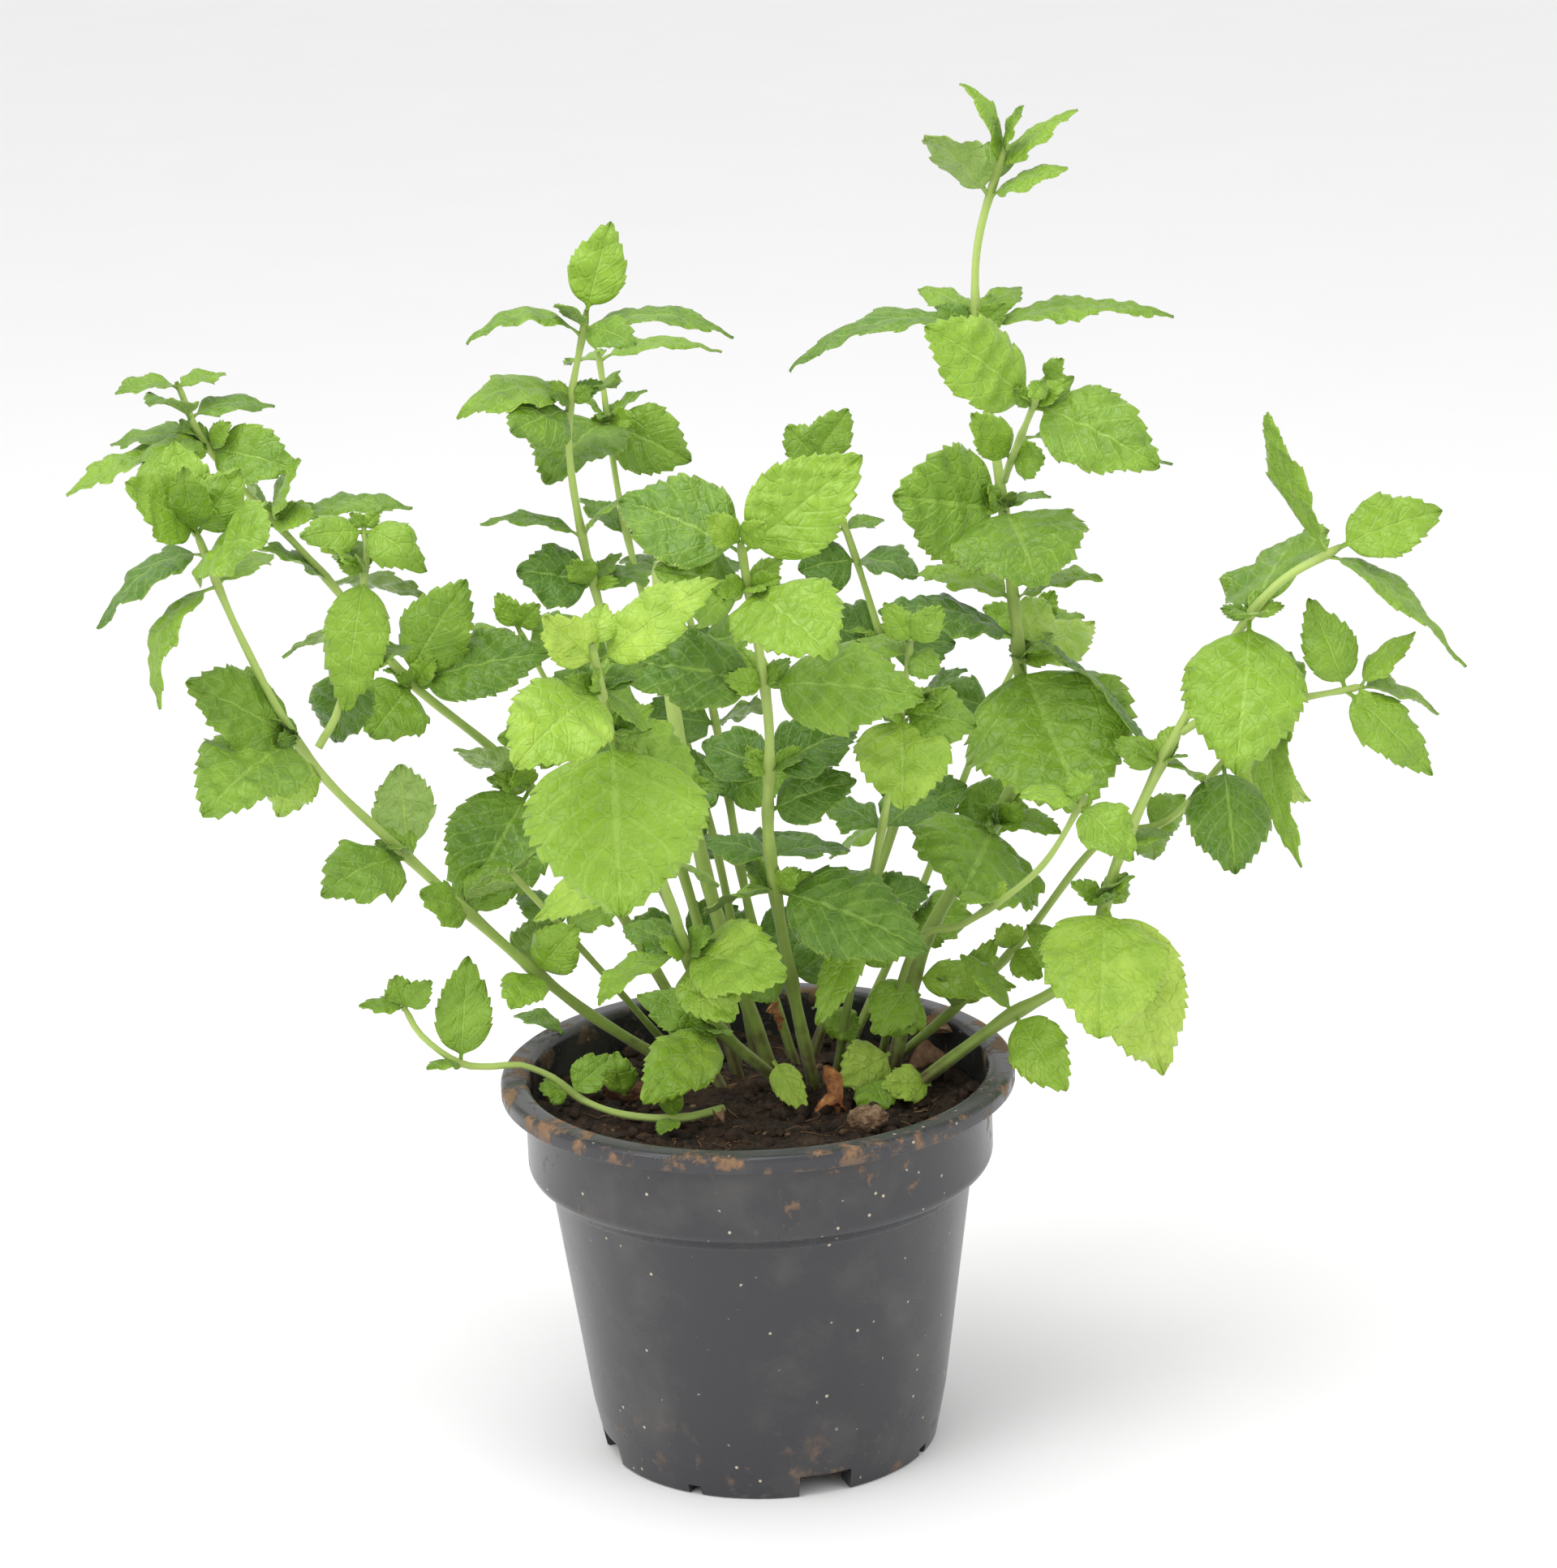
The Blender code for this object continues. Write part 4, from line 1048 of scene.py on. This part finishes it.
class MintPlant:
    """All the stems with their leaves."""

    def __init__(self) -> None:
        """Make the two skins."""
        self.leaf_skin = LeafFinish().material()
        self.stem_skin = StemFinish().material()

    def grow(self, stem: Stem, index: int) -> None:
        """Add one stem's tube and its leaves.

        Args:
            stem: the stem to add.
            index: its number, which seeds its leaves.
        """
        tube = stem.tube().object(f"shown_stem_{stem.name}", self.stem_skin, "stem_place", "stem")
        if stem.in_cad:
            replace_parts(tube, f"stem_{stem.name}")
        small = Shape()
        for number, whorl in enumerate(stem.whorls):
            shape = Shape() if whorl.node else small
            start = stem.place(min(whorl.at, LAST_NODE))
            for k, one in enumerate(whorl.leaves):
                shape.add(*one.patch(start, index * 1000 + number * 10 + k))
            if whorl.node:
                piece = shape.object(f"shown_{whorl.node}", self.leaf_skin, "leaf_place", "leaf")
                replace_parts(piece, whorl.node)
                if whorl.at < HIGHEST_BUDS and stem.name not in BARE_NODES:
                    self.side_buds(small, stem, whorl, index * 1000 + number)
        if small.count:
            small.object(f"small_leaves_{stem.name}", self.leaf_skin, "leaf_place", "leaf")
        log.info("stem %s with %d whorls", stem.name, len(stem.whorls))

    def side_buds(self, shape: Shape, stem: Stem, whorl: Whorl, seed: int) -> None:
        """Add the small young leaves that stand in the angle of a leaf pair.

        Args:
            shape: where the leaves are added.
            stem: the stem that carries the pair.
            whorl: the pair.
            seed: picks the small leaves' sizes and directions.
        """
        draw = random.Random(seed)
        start = stem.place(min(whorl.at, LAST_NODE))
        for one in whorl.leaves:
            flat = np.array([one.reach[0], one.reach[1] * 0.4, 0.0])
            for turn in (-0.7, 0.1, 0.8):
                spin = turn + draw.uniform(-0.3, 0.3)
                way = np.array([flat[0] * math.cos(spin) - flat[1] * math.sin(spin),
                                flat[0] * math.sin(spin) + flat[1] * math.cos(spin), 0.0])
                way = unit(way) + np.array([0.0, 0.0, draw.uniform(0.15, 1.1)])
                length = draw.uniform(7.0, 13.0)
                small = Leaf(tuple(unit(way) * length), length * draw.uniform(0.5, 0.66),
                             draw.choice((FRONT_UP, UP, FRONT)), draw.uniform(0.08, 0.25),
                             round(draw.uniform(-1.4, 1.6)))
                shape.add(*small.patch(start, draw.randrange(10 ** 6)))

    def build(self) -> None:
        """Grow every stem."""
        for index, stem in enumerate(STEMS):
            self.grow(stem, index)


def arc(centre_r: float, centre_z: float, radius: float, start: float, end: float, steps: int) -> list:
    """(radius, height) points along an arc whose angles are in degrees."""
    angles = np.radians(np.linspace(start, end, steps + 1))
    return [(centre_r + radius * math.cos(a), centre_z + radius * math.sin(a)) for a in angles]


@dataclass(frozen=True)
class Notch:
    """A kind of notch that is cut four times round the foot.

    Attributes:
        name: its cutter's name.
        width: its width.
        height: its height over the floor.
        angle: the first one's place, in degrees from the front.
    """

    name: str
    width: float
    height: float
    angle: float


@dataclass
class NurseryPot:
    """The moulded pot, turned in fine steps and notched around its foot."""

    steps: int = 192
    notches: tuple[Notch, ...] = (Notch("slot_cutter", 13.6, 6.0, 18.0),
                                  Notch("vent_cutter", 3.5, 2.6, -27.0))
    cutters: list[bpy.types.Object] = field(default_factory=list)

    def wall_inside(self, height: float) -> float:
        """Inside radius of the tapered wall at a height.

        Args:
            height: the height over the floor.

        Returns:
            The radius.
        """
        if height < WALL_FOOT:
            return FOOT_RADIUS + (WALL_FOOT_RADIUS - FOOT_RADIUS) / WALL_FOOT * height - WALL
        slope = (WALL_TOP_RADIUS - WALL_FOOT_RADIUS) / (WALL_TOP - WALL_FOOT)
        return WALL_FOOT_RADIUS + slope * (height - WALL_FOOT) - WALL

    def profile(self) -> list[tuple[float, float]]:
        """The section from the floor's middle, up the inside and down the outside.

        Returns:
            (radius, height) points.
        """
        lip = POT_HEIGHT - LIP_HEIGHT
        inside = COLLAR_RADIUS - WALL
        points = [(0.0, FLOOR_TOP), (self.wall_inside(FLOOR_TOP), FLOOR_TOP)]
        points += [(self.wall_inside(WALL_FOOT), WALL_FOOT), (self.wall_inside(WALL_TOP), WALL_TOP + 0.6)]
        points += [(inside - 1.2, COLLAR_BOTTOM - 1.0), (inside, COLLAR_BOTTOM + 1.0)]
        points += arc(inside + 2.4, POT_HEIGHT - 2.4, 2.4, 180.0, 90.0, 8)
        points += arc(RIM_RADIUS - 1.6, POT_HEIGHT - 1.6, 1.6, 90.0, 0.0, 8)
        points += arc(RIM_RADIUS - 0.5, lip + 0.5, 0.5, 0.0, -90.0, 3)
        points += [(RIM_RADIUS - WALL, lip), (RIM_RADIUS - WALL, POT_HEIGHT - LIP_SHEET)]
        points += [(COLLAR_RADIUS + 0.6, POT_HEIGHT - LIP_SHEET), (COLLAR_RADIUS, POT_HEIGHT - 3.0)]
        points += arc(COLLAR_RADIUS - 4.0, COLLAR_BOTTOM, 4.0, 0.0, -58.0, 8)
        points += [(WALL_TOP_RADIUS + 0.5, WALL_TOP + 0.9), (WALL_TOP_RADIUS, WALL_TOP)]
        points += [(WALL_FOOT_RADIUS + 0.15, WALL_FOOT + 1.2), (WALL_FOOT_RADIUS - 0.2, WALL_FOOT - 0.6)]
        points += [(FOOT_RADIUS + 0.15, 0.5), (FOOT_RADIUS - 0.4, 0.0)]
        points += [(FOOT_RING_INSIDE, 0.0), (FOOT_RING_INSIDE - 0.5, CHANNEL_TOP)]
        points += [(CENTRE_PAD + 0.5, CHANNEL_TOP), (CENTRE_PAD, 0.0), (0.0, 0.0)]
        return points

    def cutter(self, notch: Notch) -> bpy.types.Object:
        """Four boxes round the foot that cut one kind of notch.

        Args:
            notch: the kind of notch.

        Returns:
            The cutter, which is kept in the pot's list of cutters.
        """
        shape = bmesh.new()
        middle = Vector((FOOT_RING_INSIDE + 6.3, 0.0, notch.height / 2 - 1.0)) * MM
        size = Vector((14.6, notch.width, notch.height + 2.0)) * MM
        box = Matrix.Translation(middle) @ Matrix.Diagonal((*size, 1.0))
        for quarter in range(4):
            turn = Matrix.Rotation(math.radians(notch.angle + 90.0 * (quarter - 1)), 4, "Z")
            bmesh.ops.create_cube(shape, size=1.0, matrix=turn @ box)
        mesh = bpy.data.meshes.new(notch.name)
        shape.to_mesh(mesh)
        shape.free()
        obj = bpy.data.objects.new(notch.name, mesh)
        bpy.context.scene.collection.objects.link(obj)
        self.cutters.append(obj)
        return obj

    def build(self) -> None:
        """Turn, notch and place the pot."""
        mesh = bpy.data.meshes.new("pot_turning")
        section = self.profile()
        edges = [(i, i + 1) for i in range(len(section) - 1)]
        mesh.from_pydata([(r * MM, 0.0, z * MM) for r, z in section], edges, [])
        rough = bpy.data.objects.new("pot_turning", mesh)
        bpy.context.scene.collection.objects.link(rough)
        screw = rough.modifiers.new("turn", "SCREW")
        screw.steps = screw.render_steps = self.steps
        screw.use_merge_vertices = True
        screw.merge_threshold = 0.00001
        for notch in self.notches:
            cut = rough.modifiers.new(notch.name, "BOOLEAN")
            cut.solver = "EXACT"
            cut.object = self.cutter(notch)
        bpy.context.view_layer.update()
        cut_pot = rough.evaluated_get(bpy.context.evaluated_depsgraph_get())
        made = bpy.data.meshes.new_from_object(cut_pot)
        for old in (rough, *self.cutters):
            bpy.data.objects.remove(old, do_unlink=True)
        made.materials.clear()
        pot = place_piece("shown_pot", made, PotPlastic().material())
        pot.data.set_sharp_from_angle(angle=math.radians(35.0))
        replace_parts(pot, "pot")
        log.info("pot turned in %d steps", self.steps)


@dataclass
class PottingSoil:
    """Peat: a lumpy surface with crumbs, fibres and grit lying on it."""

    radius: float = COLLAR_RADIUS - WALL - 0.3
    crumbs: int = 520
    pale_crumbs: int = 90
    fibres: int = 90
    gap: float = 0.3

    def height(self, x: float, y: float) -> float:
        """The surface's height at a place, in millimetres.

        Args:
            x: place to the right.
            y: place to the back.

        Returns:
            The height.
        """
        spot = Vector((x, y, 3.0))
        lumps = sum(noise.noise(spot / size) * rise for size, rise in ((9.0, 1.6), (3.2, 1.1), (1.2, 0.5)))
        bank = 2.2 * max(0.0, (math.hypot(x, y) - 44.0) / 14.0)
        return SOIL_TOP - 1.6 + lumps + bank * 0.6

    def surface(self, shape: Shape) -> None:
        """The lumpy top, closed by a plug down to the pot's floor.

        Args:
            shape: where the surface is added.
        """
        rings, spokes = 74, 180
        angle = np.linspace(0.0, 2.0 * np.pi, spokes, endpoint=False)
        points = []
        for ring in range(rings):
            r = max(self.radius * ring / (rings - 1), 0.02)
            for a in angle:
                x, y = r * math.cos(a), r * math.sin(a)
                points.append((x, y, self.height(x, y)))
        inside = NurseryPot().wall_inside
        bottom = FLOOR_TOP + self.gap
        sides = ((self.radius, COLLAR_BOTTOM + 1.5), (inside(WALL_TOP) - self.gap, WALL_TOP + 1.2),
                 (inside(WALL_FOOT) - self.gap, WALL_FOOT), (inside(FLOOR_TOP) - self.gap, bottom),
                 (0.02, bottom))
        for r, z in sides:
            points += [(r * math.cos(a), r * math.sin(a), z) for a in angle]
        quads = grid_faces(rings + len(sides), spokes, closed=True)
        shape.add(np.array(points), quads, np.ones((len(points), 4)))

    def crumb_mesh(self) -> tuple[np.ndarray, np.ndarray]:
        """A small lump: a cube's six faces, each split and rounded.

        Returns:
            Its points and its faces.
        """
        shape = bmesh.new()
        bmesh.ops.create_cube(shape, size=1.0)
        bmesh.ops.subdivide_edges(shape, edges=shape.edges, cuts=1, use_grid_fill=True)
        points = unit(np.array([v.co for v in shape.verts]))
        faces = np.array([[v.index for v in f.verts] for f in shape.faces])
        shape.free()
        return points, faces

    def scatter(self, shape: Shape, count: int, sizes: tuple[float, float], seed: int) -> None:
        """Strew crumbs over the surface.

        Args:
            shape: where the crumbs are added.
            count: how many.
            sizes: smallest and largest radius.
            seed: picks their places.
        """
        draw = random.Random(seed)
        points, faces = self.crumb_mesh()
        for _ in range(count):
            r = (self.radius - 2.0) * math.sqrt(draw.random())
            a = draw.uniform(0.0, 2.0 * math.pi)
            x, y = r * math.cos(a), r * math.sin(a)
            size = sizes[0] + (sizes[1] - sizes[0]) * draw.random() ** 3
            stretch = np.array([draw.uniform(0.6, 1.5), draw.uniform(0.6, 1.3), draw.uniform(0.5, 0.9)])
            dents = 1.0 + 0.25 * np.sin(points[:, [1, 2, 0]] * 5.0 + draw.random() * 6.0)
            lump = points * stretch * size * dents
            turn = np.array(Matrix.Rotation(draw.uniform(0.0, 6.28), 3, "Z"))
            centre = np.array([x, y, self.height(x, y) + size * 0.25])
            shape.add(lump @ turn.T + centre, faces, np.ones((len(points), 4)))

    def strands(self, shape: Shape) -> None:
        """Fine roots and fibres that lie over the surface.

        Args:
            shape: where the fibres are added.
        """
        draw = random.Random(5)
        for _ in range(self.fibres):
            r = (self.radius - 8.0) * math.sqrt(draw.random())
            a, heading = draw.uniform(0.0, 6.28), draw.uniform(0.0, 6.28)
            x, y = r * math.cos(a), r * math.sin(a)
            line = []
            for _ in range(8):
                line.append((x, y, self.height(x, y) + 0.35))
                heading += draw.uniform(-0.6, 0.6)
                x, y = x + 1.1 * math.cos(heading), y + 1.1 * math.sin(heading)
            centre = np.array(line)
            ring = np.radians(np.arange(0.0, 360.0, 90.0))
            thick = draw.uniform(0.10, 0.26)
            side = np.array([-math.sin(heading), math.cos(heading), 0.0])
            lift = np.array([0.0, 0.0, 1.0])
            around = np.cos(ring)[:, None] * side + np.sin(ring)[:, None] * lift
            points = centre[:, None, :] + around[None] * thick
            shape.add(points.reshape(-1, 3), grid_faces(8, 4, closed=True), np.ones((32, 4)))

    def build(self) -> None:
        """Make the peat, its paler crumbs and its fibres."""
        peat = GroundFinish("peat", (0.012, 0.007, 0.004), (0.085, 0.045, 0.023), 1.6).material()
        shape = Shape()
        self.surface(shape)
        self.scatter(shape, self.crumbs, (0.5, 2.6), 1)
        soil = shape.object("shown_soil", peat, "soil_place", "soil")
        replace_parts(soil, "soil")
        husk = GroundFinish("husk", (0.10, 0.05, 0.025), (0.36, 0.22, 0.11), 1.2).material()
        loose = Shape()
        self.scatter(loose, self.pale_crumbs, (0.3, 1.3), 2)
        self.strands(loose)
        loose.object("soil_fibres", husk, "soil_place", "soil")
        log.info("soil with %d crumbs", self.crumbs)


@dataclass
class Litter:
    """Bark, dead leaves and a seed husk on the soil."""

    leaf_rows: int = 26
    leaf_columns: int = 13

    def bark(self, name: str, low: Vector, high: Vector, finish: GroundFinish) -> None:
        """A worn bit of bark that fills a CAD node's box.

        Args:
            name: the CAD node's name.
            low: the box's lowest corner.
            high: its highest corner.
            finish: its finish.
        """
        shape = bmesh.new()
        bmesh.ops.create_icosphere(shape, subdivisions=5, radius=1.0)
        centre, half = (low + high) / 2, (high - low) / 2
        for vertex in shape.verts:
            way = vertex.co.copy()
            knob = 0.90 + 0.16 * noise.noise(way * 2.1) + 0.10 * noise.noise(way * 6.0)
            knob += 0.05 * noise.noise(way * 17.0)
            vertex.co = centre + Vector(way[k] * knob * half[k] for k in range(3))
        mesh = bpy.data.meshes.new(name)
        shape.to_mesh(mesh)
        shape.free()
        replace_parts(place_piece(f"shown_{name}", mesh, finish.material()), name)

    def dead_leaf(self, name: str, start: Point, reach: Point, width: float, curl: float,
                  skin: bpy.types.Material) -> None:
        """A curled dry leaf.

        Args:
            name: the piece's name.
            start: where its stalk is.
            reach: its tip from there.
            width: its span across.
            curl: how far it rolls up, in radians.
            skin: its material.
        """
        rows, columns = self.leaf_rows, self.leaf_columns
        t = np.linspace(0.0, 1.0, rows)
        line = np.array(start) + np.array(reach) * t[:, None]
        line[:, 2] += 2.0 * np.sin(np.pi * t)
        way = unit(np.array(reach, float))
        side = unit(np.cross(way, np.array([0.1, -0.4, 1.0])))
        up = np.cross(side, way)
        half = width / 2 * np.sin(np.pi * np.clip(t, 0.04, 0.97)) ** 0.8
        bend = np.linspace(-curl, curl, columns)
        crumple = 0.4 * np.sin(t[:, None] * 17.0 + bend * 4.0)
        wide = half[:, None] * np.sin(bend) / curl
        rise = half[:, None] * (1.0 - np.cos(bend)) / curl + crumple
        top = line[:, None, :] + side * wide[..., None] + up * rise[..., None]
        points = np.concatenate([top.reshape(-1, 3), (top - up * 0.25).reshape(-1, 3)])
        quads = grid_faces(rows, columns)
        both_sides = np.concatenate([quads, quads[:, ::-1] + rows * columns])
        shape = Shape()
        shape.add(points, both_sides, np.ones((len(points), 4)))
        shape.object(name, skin, "litter_place", "soil")

    def build(self) -> None:
        """Lay out the litter."""
        tan = GroundFinish("bark_tan", (0.13, 0.07, 0.035), (0.44, 0.30, 0.18), 1.6)
        brown = GroundFinish("bark_brown", (0.05, 0.02, 0.01), (0.20, 0.085, 0.04), 2.0)
        for name, finish in (("bark_tan", tan), ("bark_brown", brown)):
            self.bark(name, *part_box(name), finish)
        rust = GroundFinish("rust_leaf", (0.22, 0.07, 0.02), (0.60, 0.28, 0.09), 2.4, 0.6).material()
        dun = GroundFinish("dun_leaf", (0.16, 0.08, 0.045), (0.38, 0.22, 0.12), 2.4, 0.7).material()
        top = SOIL_TOP
        self.dead_leaf("dead_leaf_front", (17, 2, top + 10), (3, -6, -11), 7.0, 1.5, rust)
        self.dead_leaf("dead_leaf_foot", (22, -6, top + 1), (-8, -3, 1), 5.0, 1.2, rust)
        self.dead_leaf("dead_leaf_right", (50, 18, top + 2), (-12, -10, 4), 12.0, 1.4, dun)
        self.dead_leaf("dead_leaf_far_right", (40, 34, top + 2), (10, -9, 8), 11.0, 1.3, dun)
        self.dead_leaf("dead_sepal", (6, 14, top + 16), (-3, -3, 6), 7.0, 1.2, rust)
        self.dead_leaf("seed_husk", (-11, -10, top + 0.5), (2, -5, 2), 4.0, 1.4, dun)
        log.info("litter laid")


class BasalLeaves:
    """Pale young leaves at the foot of the stems, low over the soil."""

    # Besides young leaves being pale, the tones here paint light and shade: the front leaves are paler as
    # a painted highlight, and the back ones darker as painted shade.
    LEAVES: tuple[tuple[Point, Leaf], ...] = (
        ((34, 14, 97), leaf(-13, -8, -5, 15, FRONT, 0.15, 3)),
        ((44, 6, 91), leaf(-13, -6, 2, 10, tone=3)),
        ((29, 6, 93), leaf(3, -9, -5, 13, FRONT_UP, 0.2)),
        ((4, 14, 96), leaf(8, -14, -9, 8, FRONT, 0.1, 3)),
        ((19, 20, 108), leaf(6, -5, -8, 9, FRONT, 0.1, 1)),
        ((42, 16, 112), leaf(-9, -8, -8, 12, FRONT, 0.1, 1)),
        ((-34, 2, 92), leaf(-2, -2, 13, 9, FRONT, 0.2)),
        ((-15, 30, 100), leaf(-10, 6, 6, 10, UP, 0.1, -1)),
        ((-50, 30, 100), leaf(-13, 6, 3, 8, UP, 0.2, -1)),
    )

    def build(self, skin: bpy.types.Material) -> None:
        """Add the leaves as one piece.

        Args:
            skin: the leaves' skin.
        """
        shape = Shape()
        for number, (start, one) in enumerate(self.LEAVES):
            shape.add(*one.patch(np.array(start, float), 90000 + number))
        shape.object("basal_leaves", skin, "leaf_place", "leaf")
        log.info("%d basal leaves", len(self.LEAVES))


@dataclass
class Studio:
    """A pale floor, soft light and the camera."""

    distance: float = 1250.0
    elevation: float = 16.8
    roll: float = -2.1
    target: Point = (7.9, 0.0, 174.0)
    lens: float = 115.5

    def floor(self) -> None:
        """A wide plain floor."""
        bpy.ops.mesh.primitive_plane_add(size=30.0, location=(0.0, 0.0, 0.0))
        floor = bpy.context.object
        floor.name = "floor"
        g = Graph("floor_paint")
        paint = g.mix(g.noise(90.0), (0.88, 0.88, 0.88), (0.91, 0.91, 0.91))
        floor.data.materials.append(g.finish(paint, 0.9))

    def light(self, name: str, place: Point, size: float, power: float) -> None:
        """A square soft light aimed at the plant's middle.

        Args:
            name: the lamp's name.
            place: where it stands, in metres.
            size: its side, in metres.
            power: its power in watts.
        """
        lamp = bpy.data.lights.new(name, "AREA")
        lamp.size = size
        lamp.energy = power
        obj = bpy.data.objects.new(name, lamp)
        obj.location = place
        aim = Vector((0.0, 0.0, 0.15)) - obj.location
        obj.rotation_euler = aim.to_track_quat("-Z", "Y").to_euler()
        bpy.context.scene.collection.objects.link(obj)

    def camera(self) -> None:
        """Place the camera from its distance, height angle and roll."""
        high = math.radians(self.elevation)
        lean = math.radians(self.roll)
        back = Vector((0.0, -math.cos(high), math.sin(high)))
        right = Vector((1.0, 0.0, 0.0))
        up = back.cross(right)
        rolled_right = right * math.cos(lean) + up * math.sin(lean)
        rolled_up = up * math.cos(lean) - right * math.sin(lean)
        data = bpy.data.cameras.new("camera")
        data.lens = self.lens
        data.sensor_width = 36.0
        obj = bpy.data.objects.new("camera", data)
        turn = Matrix((rolled_right, rolled_up, back)).transposed().to_4x4()
        turn.translation = (Vector(self.target) + back * self.distance) * MM
        obj.matrix_world = turn
        bpy.context.scene.collection.objects.link(obj)
        bpy.context.scene.camera = obj

    def build(self) -> None:
        """Set up floor, world, lamps and camera."""
        self.floor()
        world = bpy.data.worlds.new("studio")
        world.use_nodes = True
        world.node_tree.nodes["Background"].inputs[0].default_value = (1.0, 1.0, 1.0, 1.0)
        world.node_tree.nodes["Background"].inputs[1].default_value = 0.92
        bpy.context.scene.world = world
        bpy.context.scene.view_settings.view_transform = "Standard"
        self.light("top_light", (-0.3, -0.3, 1.4), 1.0, 10.0)
        self.light("left_light", (-1.2, -1.0, 0.9), 0.8, 6.0)
        self.light("right_light", (1.3, -0.9, 0.8), 0.8, 4.0)
        self.camera()
        log.info("studio ready")


def main() -> None:
    """Build the scene."""
    logging.basicConfig(level=logging.INFO, format="%(message)s")
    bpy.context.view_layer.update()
    NurseryPot().build()
    PottingSoil().build()
    Litter().build()
    plant = MintPlant()
    plant.build()
    BasalLeaves().build(plant.leaf_skin)
    Studio().build()


if __name__ == "__main__":
    main()
